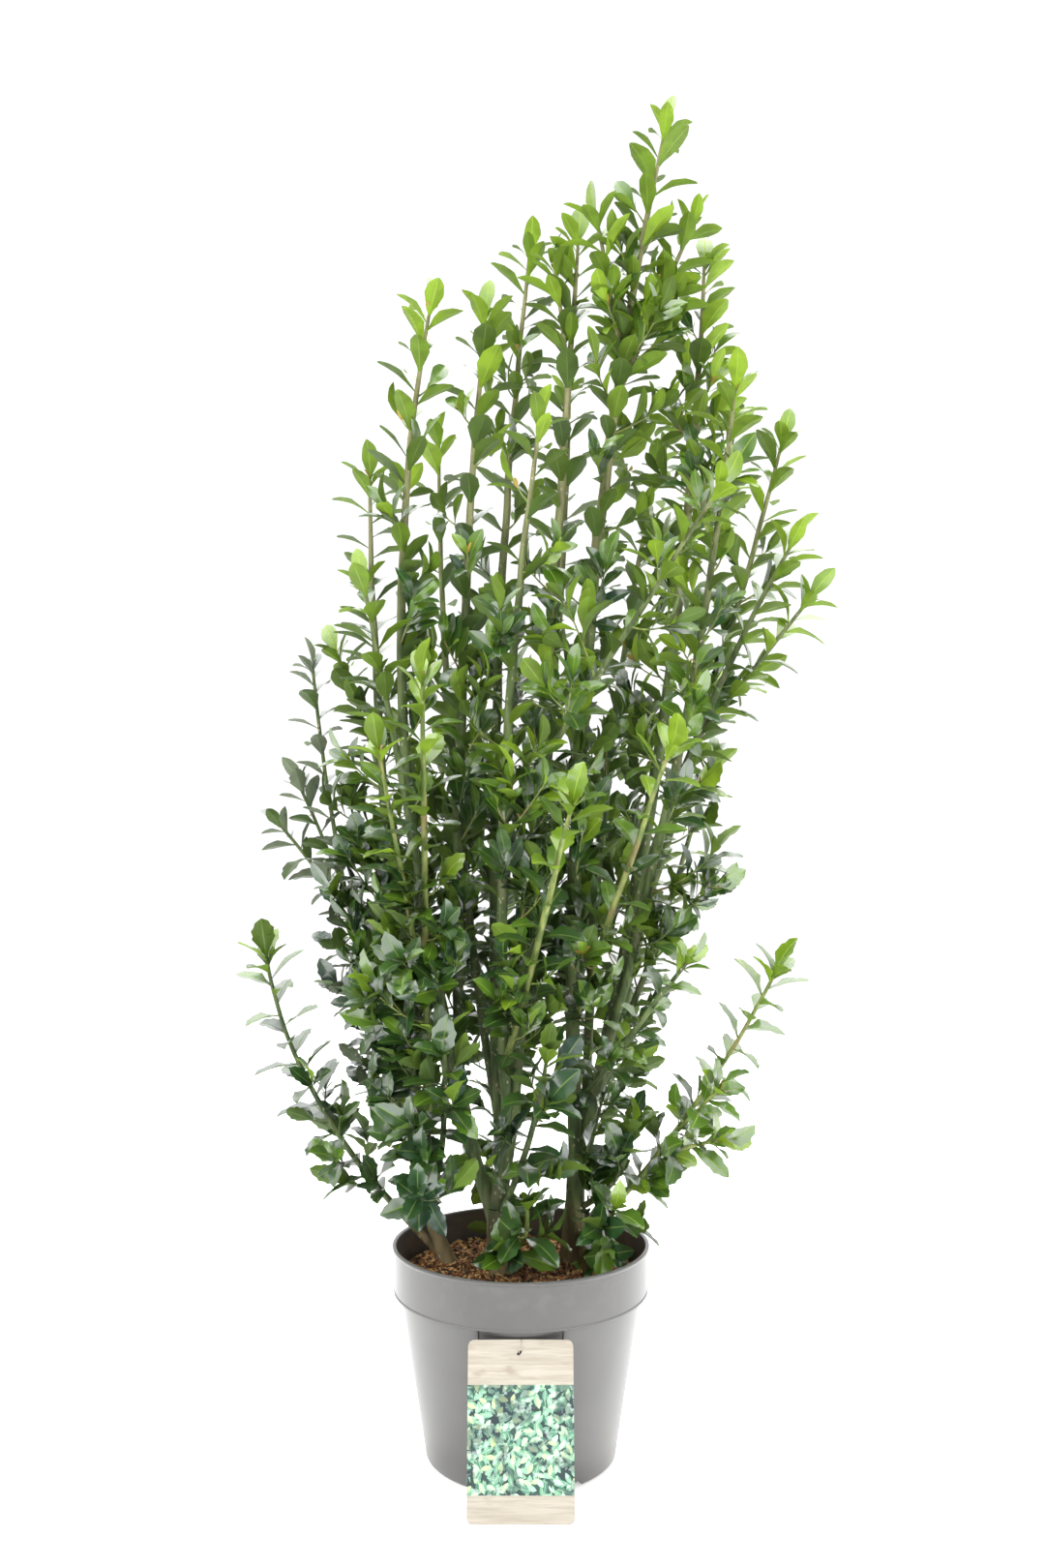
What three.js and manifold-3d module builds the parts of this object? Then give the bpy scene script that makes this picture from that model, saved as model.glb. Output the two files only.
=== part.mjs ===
// A meserve holly in its round nursery pot, in millimetres.
// +Z is up, +X is the viewer's right, and the plant faces -Y.
// The origin is the centre of the pot's flat underside.
import * as THREE from 'three';
import { mergeVertices } from 'three/addons/utils/BufferGeometryUtils.js';
import Module from 'manifold-3d';

const wasm = await Module();
wasm.setup();

// Driving sizes
const GAP = 0.3;
const SEGMENTS = 36;
const POT = {
  height: 247, rim: 156.5, lip: 5, lipStep: 2, bandFoot: 192, band: 154, shoulder: 146, base: 114,
  wall: 2.6, floor: 9, foot: 3,
};
const NOTCH = { count: 6, width: 24, height: 7.5, depth: 12, first: -57 };
const SOIL = { top: 215, edge: 210, level: 112, slope: 0.3 };
const LABEL = { width: 116, height: 184, corner: 6, thick: 1, foot: -173.5, hole: 3.2, holeDrop: 13 };

// Trunks stand on the soil: [x, y] of the foot, the end, how far the middle bows, foot and end thickness.
const TRUNK = { sides: 8, ringSpacing: 25, sunk: 12, flare: 0.3, flareFall: 4 };
const TRUNKS = {
  trunk_centre: { foot: [-20, -17], end: [-29, -16, 290], bow: [-2, 0, 0], thick: [33, 24] },
  trunk_left: { foot: [-86, 30], end: [-118, 14, 310], bow: [-5, 0, 0], thick: [19, 15] },
  trunk_right: { foot: [62, 30], end: [68, 18, 350], bow: [2, 0, 0], thick: [29, 21] },
};

// Limbs that grow on a trunk or on another limb, in the order in which they branch.
// from: the limb that carries it and the share of that limb's path where it leaves.
// tip: where its last leaf ends. bow: how far its middle stands off the straight line.
// thick: its thickness at the foot. bare: the share of it that is a bough, before its foliage.
// forks: [share of the path where a long side shoot leaves, the shoot's tip].
// size: how large its leaves and twigs are beside the others'. twigs: false where it bears leaves alone.
const LIMB = { sides: 6, ringSpacing: 60, endTaper: 2, forkThick: 0.8, sampleStep: 8 };
const LIMBS = {
  fork_left: { from: ['trunk_centre', 0.7], tip: [-75, -2, 430], bow: [-4, 0, 0], thick: 17, bare: 1 },
  fork_middle: { from: ['trunk_centre', 1], tip: [-8, -10, 425], bow: [0, 0, 0], thick: 21, bare: 1 },
  top: {
    from: ['trunk_right', 1], tip: [188, -30, 1690], bow: [-40, 0, 0], thick: 18, bare: 0.16,
    forks: [[0.77, [86, -60, 1558]], [0.74, [245, 20, 1585]]],
  },
  right_inner: { from: ['trunk_right', 0.8], tip: [253, 60, 1555], bow: [30, 0, 0], thick: 17, bare: 0.2 },
  mid_tall: {
    from: ['fork_middle', 1], tip: [78, 10, 1561], bow: [2, 0, 0], thick: 16, bare: 0.11,
    forks: [[0.84, [38, -10, 1518]]],
  },
  mid_left: { from: ['fork_middle', 0.2], tip: [13, 70, 1578], bow: [-25, 30, 0], thick: 14, bare: 0.15 },
  left_second: { from: ['fork_left', 1], tip: [-44, 0, 1457], bow: [-15, 0, 0], thick: 14, bare: 0 },
  left_tall: { from: ['fork_left', 0.72], tip: [-118, -40, 1447], bow: [-56, 0, 0], thick: 14, bare: 0.13 },
  front_bright: {
    from: ['fork_middle', 0.6], tip: [24, -110, 1279], bow: [-21, -20, 0], thick: 14, bare: 0.13,
    forks: [[0.45, [251, -180, 1172]]],
  },
  left_edge: { from: ['trunk_left', 1], tip: [-201, 30, 1257], bow: [-15, 0, 0], thick: 14, bare: 0.16 },
  left_outer: { from: ['left_edge', 0.1], tip: [-256, 100, 1038], bow: [35, 10, 0], thick: 10, bare: 0.12 },
  left_brown: { from: ['left_tall', 0.05], tip: [-198, -80, 1090], bow: [5, -30, 0], thick: 10, bare: 0 },
  grey: {
    from: ['trunk_left', 0.4], tip: [-293, 110, 1020], bow: [-21, 0, 0], thick: 11, bare: 0.18, size: 0.75,
    forks: [[0.6, [-318, 110, 857]], [0.56, [-354, 120, 794]]],
  },
  left_green: {
    from: ['trunk_left', 0.86], tip: [-111, -170, 963], bow: [0, 0, 0], thick: 10, bare: 0.12,
    forks: [[0.4, [-168, -170, 879]]],
  },
  low_left: {
    from: ['trunk_left', 0.1], tip: [-331, -60, 640], bow: [-42, 0, 0], thick: 11, bare: 0.18, size: 0.8, twigs: false,
  },
  low_right: {
    from: ['trunk_right', 0.15], tip: [336, -50, 616], bow: [19, 0, 0], thick: 10, bare: 0.2, size: 0.72, twigs: false,
    forks: [[0.42, [257, -100, 473]], [0.36, [272, -90, 396]]],
  },
  right_edge: {
    from: ['right_inner', 0.14], tip: [344, -80, 1138], bow: [-30, 0, 0], thick: 11, bare: 0.12,
    forks: [[0.62, [373, -100, 1058]]],
  },
  right_bright: { from: ['right_inner', 0.11], tip: [266, -110, 1322], bow: [18, -10, 0], thick: 12, bare: 0.12 },
  right_outer: { from: ['right_inner', 0.18], tip: [361, 60, 1311], bow: [10, 25, 0], thick: 11, bare: 0.1 },
  right_lower: { from: ['right_inner', 0.07], tip: [271, 90, 902], bow: [12, 12, 0], thick: 10, bare: 0.12 },
  right_green: { from: ['top', 0.12], tip: [180, -190, 875], bow: [0, 0, 0], thick: 8, bare: 0 },
  right_bottom: { from: ['top', 0.04], tip: [216, -140, 632], bow: [0, 0, 0], thick: 8, bare: 0 },
  front_centre: { from: ['front_bright', 0.1], tip: [68, -210, 817], bow: [0, 0, 0], thick: 9, bare: 0 },
  back_left: { from: ['mid_left', 0.06], tip: [-122, 190, 1353], bow: [-20, 20, 0], thick: 11, bare: 0 },
  back_mid: { from: ['mid_tall', 0.08], tip: [74, 200, 1429], bow: [10, 25, 0], thick: 12, bare: 0 },
  back_right: { from: ['right_inner', 0.04], tip: [202, 190, 1324], bow: [-20, 30, 0], thick: 12, bare: 0.12 },
  back_low: { from: ['mid_left', 0.04], tip: [8, 300, 901], bow: [-15, 25, 0], thick: 10, bare: 0.12 },
  back_low_left: { from: ['grey', 0.15], tip: [-197, 250, 725], bow: [15, 20, 0], thick: 9, bare: 0 },
  back_low_right: { from: ['trunk_right', 0.5], tip: [214, 260, 753], bow: [0, 20, 0], thick: 10, bare: 0.14 },
  front_tuft: { from: ['trunk_centre', 0.3], tip: [24, -86, 352], bow: [12, -8, -8], thick: 7, bare: 0, step: 13 },
  low_front: { from: ['trunk_left', 0.7], tip: [-87, -120, 553], bow: [10, -20, 0], thick: 8, bare: 0, size: 0.8 },
  low_middle: { from: ['trunk_centre', 0.85], tip: [44, -105, 529], bow: [8, -14, 0], thick: 8, bare: 0, size: 0.8 },
  low_inner: { from: ['trunk_right', 0.5], tip: [158, -62, 433], bow: [14, -8, -8], thick: 8, bare: 0, size: 0.8 },
  low_back: { from: ['trunk_centre', 0.6], tip: [-32, 120, 447], bow: [0, 20, -6], thick: 8, bare: 0, size: 0.8 },
  right_tuft: { from: ['trunk_right', 0.3], tip: [134, -88, 322], bow: [8, -8, -4], thick: 8, bare: 0, step: 16 },
};

// The growth rule of the foliage. Pairs run from the foot of the plant to its top.
// A leaf is widest and thickest at a share of its length. Lengths and angles vary by small amounts.
// tries: [how far round its stem a leaf or twig is turned, and its size] until it has room.
const GROWTH = {
  stemEnd: 2.8, turn: 2.39996, ringSpacing: 90, spread: 0.3,
  tipLeaf: 52, tipLeafRoot: 6, tipLeafAngle: 0.06,
  leafStep: 38, firstLeaf: 16, leafApart: 36, leafMiddle: 0.6, leafLength: [94, 84], leafAngle: [1.2, 0.75],
  leafWidth: 0.52, leafWidest: 0.56, leafThickest: 0.4, leafFold: 0.05, leafThick: 0.026,
  lengthVaries: 0.1, angleVaries: 0.12, youngest: 0.72, youngRun: 100,
  twigFirst: 60, twigStep: 340, twigLast: 1, twigLength: [120, 80], twigAngle: 0.85, twigThick: 4.4,
  twigSag: 1 / 16, twigLeafStep: 46, twigLeafSize: 0.9, twigClearance: 4,
  twigLengthVaries: 0.2, twigAngleVaries: 0.15, twigFirstVaries: 0.5,
  margin: 2.5, limbMargin: 2, potMargin: 8, soilMargin: 5, wallMargin: 12,
  tries: [[0, 1], [1.2, 1], [-1.2, 1], [2.4, 1], [0, 0.72], [1.2, 0.72], [-1.2, 0.72], [2.4, 0.72]],
};
const LOWEST = 300;
const HIGHEST = 1600;
const BRIGHT_ABOVE = 1100;

// Colours and finishes
const FINISH = {
  pot: new THREE.MeshStandardMaterial({ color: 0x8a8785, roughness: 0.5, metalness: 0 }),
  soil: new THREE.MeshStandardMaterial({ color: 0x8a5f38, roughness: 0.95, metalness: 0 }),
  label: new THREE.MeshStandardMaterial({ color: 0xcfd8c0, roughness: 0.4, metalness: 0 }),
  bark: new THREE.MeshStandardMaterial({ color: 0x5d5a3c, roughness: 0.8, metalness: 0 }),
  lowLeaf: new THREE.MeshStandardMaterial({ color: 0x2f5a35, roughness: 0.35, metalness: 0 }),
  topLeaf: new THREE.MeshStandardMaterial({ color: 0x6f9c3c, roughness: 0.4, metalness: 0 }),
};

// Solids and meshes

// A closed geometry as a solid that can be joined and cut.
function solid(geometry) {
  const bare = geometry.clone();
  bare.deleteAttribute('normal');
  bare.deleteAttribute('uv');
  const merged = mergeVertices(bare);
  return new wasm.Manifold(new wasm.Mesh({
    numProp: 3,
    vertProperties: new Float32Array(merged.getAttribute('position').array),
    triVerts: new Uint32Array(merged.index.array),
  }));
}

function geometryOf(shape) {
  const mesh = shape.getMesh();
  const geometry = new THREE.BufferGeometry();
  geometry.setAttribute('position', new THREE.BufferAttribute(new Float32Array(mesh.vertProperties), 3));
  geometry.setIndex(new THREE.BufferAttribute(new Uint32Array(mesh.triVerts), 1));
  geometry.computeVertexNormals();
  return geometry;
}

const plant = new THREE.Group();
plant.name = 'meserve_holly';

function place(name, shape, material) {
  const mesh = new THREE.Mesh(geometryOf(shape), material);
  mesh.name = name;
  plant.add(mesh);
}

function lathe(profile, segments) {
  const points = profile.map(([radius, height]) => new THREE.Vector2(radius, height));
  return solid(new THREE.LatheGeometry(points, segments).rotateX(Math.PI / 2));
}

// Pot

function wallRadius(height) {
  return THREE.MathUtils.lerp(POT.base, POT.shoulder, height / POT.bandFoot);
}

function potShape() {
  const inner = POT.wall;
  let pot = lathe([
    [0, 0], [POT.base - POT.foot, 0], [wallRadius(POT.foot), POT.foot],
    [POT.shoulder, POT.bandFoot], [POT.band, POT.bandFoot],
    [POT.rim - POT.lipStep, POT.height - POT.lip], [POT.rim, POT.height - POT.lip + 1],
    [POT.rim, POT.height], [POT.rim - POT.lipStep - inner, POT.height],
    [POT.band - inner, POT.bandFoot + inner], [POT.shoulder - inner, POT.bandFoot + inner],
    [wallRadius(POT.floor) - inner, POT.floor], [0, POT.floor],
  ], SEGMENTS);
  for (let i = 0; i < NOTCH.count; i += 1) {
    const arch = new THREE.Shape();
    arch.absellipse(0, 0, NOTCH.width / 2, NOTCH.height, 0, Math.PI * 2);
    const cutter = new THREE.ExtrudeGeometry(arch, {
      depth: 2 * NOTCH.depth, bevelEnabled: false, curveSegments: 6,
    });
    cutter.translate(0, 0, POT.base - NOTCH.depth);
    cutter.rotateX(Math.PI / 2);
    cutter.rotateZ(THREE.MathUtils.degToRad(NOTCH.first + i * 360 / NOTCH.count + 90));
    pot = pot.subtract(solid(cutter));
  }
  return pot;
}

function soilShape() {
  const inner = POT.wall + GAP;
  return lathe([
    [0, POT.floor + GAP], [wallRadius(POT.floor) - inner, POT.floor + GAP],
    [POT.shoulder - inner, POT.bandFoot + inner], [POT.band - inner, POT.bandFoot + inner],
    [THREE.MathUtils.lerp(POT.band, POT.rim - POT.lipStep, SOIL.slope) - inner, SOIL.edge],
    [SOIL.level, SOIL.top], [0, SOIL.top],
  ], SEGMENTS);
}

// The card stands on its lower edge and leans on the pot under the band.
function labelShape() {
  const { width, height, corner } = LABEL;
  const card = new THREE.Shape();
  card.moveTo(-width / 2 + corner, 0);
  card.lineTo(width / 2 - corner, 0);
  card.absarc(width / 2 - corner, corner, corner, -Math.PI / 2, 0);
  card.absarc(width / 2 - corner, height - corner, corner, 0, Math.PI / 2);
  card.absarc(-width / 2 + corner, height - corner, corner, Math.PI / 2, Math.PI);
  card.absarc(-width / 2 + corner, corner, corner, Math.PI, 1.5 * Math.PI);
  const hole = new THREE.Path();
  hole.absarc(0, height - LABEL.holeDrop, LABEL.hole, 0, Math.PI * 2, true);
  card.holes.push(hole);
  const geometry = new THREE.ExtrudeGeometry(card, { depth: LABEL.thick, bevelEnabled: false, curveSegments: 5 });
  const head = -wallRadius(height) - GAP;
  const lean = Math.asin((head - LABEL.foot) / height);
  geometry.rotateX(Math.PI / 2 - lean);
  geometry.translate(0, LABEL.foot, GAP);
  return solid(geometry);
}

// Limbs

// A stem's path: a straight line that bows sideways, most in its middle.
class Stem extends THREE.Curve {
  constructor(foot, tip, bow = new THREE.Vector3()) {
    super();
    this.foot = foot;
    this.tip = tip;
    this.bow = bow;
    this.run = foot.distanceTo(tip);
    const chord = tip.clone().sub(foot);
    this.reference = Math.abs(chord.y) > 0.8 * this.run ? new THREE.Vector3(1, 0, 0) : new THREE.Vector3(0, 1, 0);
  }

  getPoint(share, target = new THREE.Vector3()) {
    return target.lerpVectors(this.foot, this.tip, share).addScaledVector(this.bow, 4 * share * (1 - share));
  }

  getTangent(share, target = new THREE.Vector3()) {
    return target.subVectors(this.tip, this.foot).addScaledVector(this.bow, 4 - 8 * share).normalize();
  }
}

// A tapering solid: a cylinder whose rings are moved onto the stem and scaled to its radius there.
function taper(stem, from, to, radiusAt, sides, rings) {
  const geometry = new THREE.CylinderGeometry(1, 1, 1, sides, rings);
  const position = geometry.getAttribute('position');
  const side = new THREE.Vector3();
  const other = new THREE.Vector3();
  for (let i = 0; i < position.count; i += 1) {
    const share = THREE.MathUtils.lerp(from, to, position.getY(i) + 0.5);
    const along = stem.getTangent(share);
    side.crossVectors(stem.reference, along).normalize();
    other.crossVectors(side, along);
    const point = stem.getPoint(share)
      .addScaledVector(side, position.getX(i) * radiusAt(share))
      .addScaledVector(other, position.getZ(i) * radiusAt(share));
    position.setXYZ(i, point.x, point.y, point.z);
  }
  return solid(geometry);
}

function ringCount(length, spacing) {
  return Math.max(1, Math.round(length / spacing));
}

const grown = {};
const limbSpace = [];
const foliageSpace = [];

// Points along a stem, which keep the others' leaves off it.
function claim(space, owner, stem, from, to, radiusAt) {
  const steps = Math.ceil(stem.run * (to - from) / LIMB.sampleStep) + 1;
  for (let i = 0; i <= steps; i += 1) {
    const share = THREE.MathUtils.lerp(from, to, i / steps);
    space.push({ owner, point: stem.getPoint(share), radius: radiusAt(share) });
  }
}

// A limb is made from its foot's centre and then cut clear of every limb made before it.
function limb(name, stem, to, radiusAt, sides, spacing) {
  const swell = GAP / Math.cos(Math.PI / sides);
  const overrun = GAP / stem.run;
  const rings = ringCount(stem.run * to, spacing);
  let shape = taper(stem, 0, to, radiusAt, sides, rings);
  for (const other of Object.values(grown)) {
    if (other.swollen) shape = shape.subtract(other.swollen);
  }
  const swollen = taper(stem, -overrun, to + overrun, (share) => radiusAt(share) + swell, sides, rings);
  claim(limbSpace, name, stem, 0, to, radiusAt);
  grown[name] = { stem, radiusAt, swollen };
  return largest(shape);
}

// The main piece of a solid, without loose scraps and with sealed hollows filled.
function largest(shape) {
  return shape.decompose().reduce((best, piece) => (piece.volume() > best.volume() ? piece : best));
}

function vector(list) {
  return new THREE.Vector3(...list);
}

// A trunk starts below the soil's top and is then cut flat just above it.
function growTrunk(name, row) {
  const stem = new Stem(vector([...row.foot, SOIL.top - TRUNK.sunk]), vector(row.end), vector(row.bow));
  const [low, high] = row.thick;
  const radiusAt = (share) => THREE.MathUtils.lerp(low, high, share) / 2
    * (1 + TRUNK.flare * Math.max(0, 1 - share) ** TRUNK.flareFall);
  const shape = limb(name, stem, 1, radiusAt, TRUNK.sides, TRUNK.ringSpacing).trimByPlane([0, 0, 1], SOIL.top + GAP);
  place(name, largest(shape), FINISH.bark);
}

// A limb's stem ends below its tip, and its last leaf reaches the tip.
function shortOf(foot, tip, length) {
  return tip.clone().lerp(foot, length / foot.distanceTo(tip));
}

// Foliage

// A seeded stream of numbers from 0 to 1.
function seeded(seed) {
  let state = seed >>> 0;
  return () => {
    state = (state + 0x6D2B79F5) >>> 0;
    let mixed = Math.imul(state ^ (state >>> 15), state | 1);
    mixed ^= mixed + Math.imul(mixed ^ (mixed >>> 7), mixed | 61);
    return ((mixed ^ (mixed >>> 14)) >>> 0) / 4294967296;
  };
}

function byHeight(pair, height) {
  const share = THREE.MathUtils.clamp((height - LOWEST) / (HIGHEST - LOWEST), 0, 1);
  return THREE.MathUtils.lerp(pair[0], pair[1], share);
}

// Directions beside a stem: turned by an angle round it, and raised from it by another.
function aside(stem, share, turn, raise) {
  const along = stem.getTangent(share);
  const side = new THREE.Vector3().crossVectors(stem.reference, along).normalize();
  const out = side.applyAxisAngle(along, turn);
  const ahead = along.clone().multiplyScalar(Math.cos(raise)).addScaledVector(out, Math.sin(raise));
  const face = along.clone().multiplyScalar(Math.sin(raise)).addScaledVector(out, -Math.cos(raise));
  return { ahead, face, across: new THREE.Vector3().crossVectors(ahead, face) };
}

// A leaf is an octahedron: root and tip, two sides that fold up, and a ridge above and below.
function leafGeometry(root, { ahead, face, across }, length) {
  const geometry = new THREE.OctahedronGeometry(1);
  const position = geometry.getAttribute('position');
  const half = length * GROWTH.leafWidth / 2;
  for (let i = 0; i < position.count; i += 1) {
    const [x, y, z] = [position.getX(i), position.getY(i), position.getZ(i)];
    const share = Math.abs(y) > 0.5 ? (y + 1) / 2 : Math.abs(x) > 0.5 ? GROWTH.leafWidest : GROWTH.leafThickest;
    const reach = length * share;
    const lift = length * (z * GROWTH.leafThick / 2 + Math.abs(x) * GROWTH.leafFold);
    const point = root.clone().addScaledVector(ahead, reach)
      .addScaledVector(across, x * half).addScaledVector(face, lift);
    position.setXYZ(i, point.x, point.y, point.z);
  }
  return geometry;
}

// Points down the middle of a leaf, with its half width there, and on its edges.
function leafPoints(root, { ahead, face, across }, length) {
  const points = [];
  const rows = 6;
  for (let i = 1; i <= rows; i += 1) {
    const reach = i / rows;
    const wide = Math.min(reach / GROWTH.leafWidest, (1 - reach) / (1 - GROWTH.leafWidest));
    const half = wide * length * GROWTH.leafWidth / 2;
    const middle = root.clone().addScaledVector(ahead, reach * length);
    points.push({ point: middle, half });
    for (const edge of [-half, half]) {
      const spot = middle.clone().addScaledVector(across, edge).addScaledVector(face, wide * length * GROWTH.leafFold);
      points.push({ point: spot, half: 0 });
    }
  }
  return points;
}

function nearest(space, point, wanted) {
  let best = Infinity;
  for (const spot of space) {
    if (wanted(spot)) best = Math.min(best, spot.point.distanceToSquared(point));
  }
  return Math.sqrt(best);
}

// A point is free when it lies nearest its own stems, off every limb and clear of the pot and the soil.
function free(owner, point, half) {
  const reach = Math.hypot(point.x, point.y);
  const floor = (reach < POT.band - GROWTH.wallMargin ? SOIL.top : POT.height) + GROWTH.soilMargin;
  if (point.z < floor && reach < POT.rim + GROWTH.potMargin) return false;
  for (const spot of limbSpace) {
    if (spot.point.distanceTo(point) < spot.radius + half + GROWTH.limbMargin) return false;
  }
  const own = nearest(foliageSpace, point, (spot) => spot.owner === owner);
  const other = nearest(foliageSpace, point, (spot) => spot.owner !== owner);
  return own + 2 * GROWTH.margin < other;
}

// A shoot is a stem from one share of its path to its end, with straight runs between its rings.
function newShoot(stem, from, radiusAt, spacing) {
  return { stem, from, radiusAt, rings: ringCount(stem.run * (1 - from), spacing) };
}

function onShoot({ stem, from, rings }, share) {
  const run = (1 - from) / rings;
  const ring = Math.min(rings - 1, Math.floor((share - from) / run));
  const start = from + ring * run;
  return stem.getPoint(start).lerp(stem.getPoint(start + run), (share - start) / run);
}

// A leaf or twig that has no room is tried again further round the stem and smaller, or else skipped.
function growFoliage({ name, shoots, step, size: rowSize, bearsTwigs }, seed) {
  const random = seeded(seed);
  const wobble = (size) => (random() - 0.5) * 2 * size;
  const pieces = [];
  const middles = [];
  const addLeaf = (shoot, share, turn, raise, length) => {
    const root = onShoot(shoot, share);
    for (const [more, size] of GROWTH.tries) {
      const way = aside(shoot.stem, share, turn + more, raise);
      const middle = root.clone().addScaledVector(way.ahead, length * size * GROWTH.leafMiddle);
      if (middles.every((other) => other.distanceTo(middle) > GROWTH.leafApart)
        && leafPoints(root, way, length * size).every(({ point, half }) => free(name, point, half))) {
        middles.push(middle);
        pieces.push(solid(leafGeometry(root, way, length * size)));
        return;
      }
    }
  };
  const addLeaves = (shoot, spacing, scale) => {
    const { stem, from } = shoot;
    let turn = random() * Math.PI * 2;
    const last = 1 - GROWTH.tipLeafRoot / stem.run;
    addLeaf(shoot, last, turn, GROWTH.tipLeafAngle, GROWTH.tipLeaf + GROWTH.tipLeafRoot);
    for (let reach = stem.run - spacing / 2; reach > from * stem.run + GROWTH.firstLeaf; reach -= spacing) {
      turn += GROWTH.turn + wobble(GROWTH.spread);
      const share = reach / stem.run;
      const height = stem.getPoint(share).z;
      const young = Math.min(1, GROWTH.youngest + (1 - GROWTH.youngest) * (stem.run - reach) / GROWTH.youngRun);
      const length = byHeight(GROWTH.leafLength, height) * scale * young * (1 + wobble(GROWTH.lengthVaries));
      addLeaf(shoot, share, turn, byHeight(GROWTH.leafAngle, height) + wobble(GROWTH.angleVaries), length);
    }
  };
  const addTwig = (shoot, share, turn, raise, length) => {
    const foot = onShoot(shoot, share);
    for (const [more, size] of GROWTH.tries) {
      const { ahead } = aside(shoot.stem, share, turn + more, raise);
      const end = foot.clone().addScaledVector(ahead, length * size);
      const twig = new Stem(foot, end, new THREE.Vector3(0, 0, -length * GROWTH.twigSag));
      if ([0.4, 0.6, 0.8, 1].every((spot) => free(name, twig.getPoint(spot), GROWTH.twigClearance))) {
        const radiusAt = (spot) => THREE.MathUtils.lerp(GROWTH.twigThick, GROWTH.stemEnd, spot) / 2;
        pieces.push(taper(twig, 0, 1, radiusAt, 3, 2));
        addLeaves(newShoot(twig, 0, radiusAt, length * size / 2), GROWTH.twigLeafStep, rowSize * GROWTH.twigLeafSize);
        return;
      }
    }
  };
  for (const shoot of shoots) {
    const { stem, from, rings, radiusAt } = shoot;
    pieces.push(taper(stem, from, 1, radiusAt, 3, rings));
    addLeaves(shoot, step, rowSize);
    if (!bearsTwigs) continue;
    let turn = random() * Math.PI * 2;
    const last = stem.run - GROWTH.twigStep * GROWTH.twigLast;
    const first = from * stem.run + GROWTH.twigFirst * (1 + wobble(GROWTH.twigFirstVaries));
    for (let reach = first; reach < last; reach += GROWTH.twigStep) {
      turn += GROWTH.turn + wobble(GROWTH.spread);
      const share = reach / stem.run;
      const usual = byHeight(GROWTH.twigLength, stem.getPoint(share).z) * rowSize;
      const length = usual * (1 + wobble(GROWTH.twigLengthVaries));
      addTwig(shoot, share, turn, GROWTH.twigAngle + wobble(GROWTH.twigAngleVaries), length);
    }
  }
  let mass = pieces.shift();
  for (const piece of pieces) mass = mass.add(piece);
  for (const other of Object.values(grown)) mass = mass.subtract(other.swollen);
  return largest(mass);
}

// Assembly

place('pot', potShape(), FINISH.pot);
place('soil', soilShape(), FINISH.soil);
place('label', labelShape(), FINISH.label);
for (const [name, row] of Object.entries(TRUNKS)) growTrunk(name, row);

const masses = [];
for (const [name, row] of Object.entries(LIMBS)) {
  const [carrier, leaves] = row.from;
  const foot = grown[carrier].stem.getPoint(leaves);
  const tip = row.bare === 1 ? vector(row.tip) : shortOf(foot, vector(row.tip), GROWTH.tipLeaf);
  const stem = new Stem(foot, tip, vector(row.bow));
  const end = row.bare === 1 ? row.thick - LIMB.endTaper : GROWTH.stemEnd;
  const radiusAt = (share) => THREE.MathUtils.lerp(row.thick, end, THREE.MathUtils.clamp(share, 0, 1)) / 2;
  if (row.bare > 0) {
    const shape = limb(name, stem, row.bare, radiusAt, LIMB.sides, LIMB.ringSpacing);
    place(row.bare === 1 ? name : `bough_${name}`, shape, FINISH.bark);
  }
  if (row.bare < 1) {
    const shoots = [newShoot(stem, row.bare, radiusAt, GROWTH.ringSpacing)];
    for (const [share, forkTip] of row.forks ?? []) {
      const forkFoot = onShoot(shoots[0], share);
      const forkStem = new Stem(forkFoot, shortOf(forkFoot, vector(forkTip), GROWTH.tipLeaf));
      const forkRadius = (at) => THREE.MathUtils.lerp(radiusAt(share) * LIMB.forkThick, GROWTH.stemEnd / 2, at);
      shoots.push(newShoot(forkStem, 0, forkRadius, GROWTH.ringSpacing));
    }
    for (const shoot of shoots) claim(foliageSpace, name, shoot.stem, shoot.from, 1, shoot.radiusAt);
    masses.push({
      name, shoots, step: row.step ?? GROWTH.leafStep, size: row.size ?? 1, bearsTwigs: row.twigs !== false,
      material: row.tip[2] > BRIGHT_ABOVE ? FINISH.topLeaf : FINISH.lowLeaf,
    });
  }
}
masses.forEach((row, index) => place(`foliage_${row.name}`, growFoliage(row, 101 + 7 * index), row.material));

export default plant;
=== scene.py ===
import math
from itertools import product

import bmesh
import bpy
import numpy as np
from mathutils import Matrix, Vector, kdtree, noise


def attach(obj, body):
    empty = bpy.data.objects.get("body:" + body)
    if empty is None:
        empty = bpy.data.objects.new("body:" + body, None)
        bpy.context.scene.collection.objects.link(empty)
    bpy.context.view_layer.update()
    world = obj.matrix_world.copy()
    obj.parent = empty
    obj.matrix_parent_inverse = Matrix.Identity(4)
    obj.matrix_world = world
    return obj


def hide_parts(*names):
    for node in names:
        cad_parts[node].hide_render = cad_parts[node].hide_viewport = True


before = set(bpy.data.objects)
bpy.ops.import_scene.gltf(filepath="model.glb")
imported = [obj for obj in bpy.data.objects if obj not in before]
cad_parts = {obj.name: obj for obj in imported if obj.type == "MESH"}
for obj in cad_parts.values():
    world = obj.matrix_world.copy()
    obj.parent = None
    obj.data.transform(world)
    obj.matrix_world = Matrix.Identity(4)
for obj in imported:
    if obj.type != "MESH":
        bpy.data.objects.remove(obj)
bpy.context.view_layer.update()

MM = 0.001

# The view: a camera under half the plant's height that looks slightly up, a pale floor, and broad lamps
# in front on the left, above, on the right and behind. Reflections don't show the lamps, only the world,
# which is bright overhead and behind the plant and dim in front of it.

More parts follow.
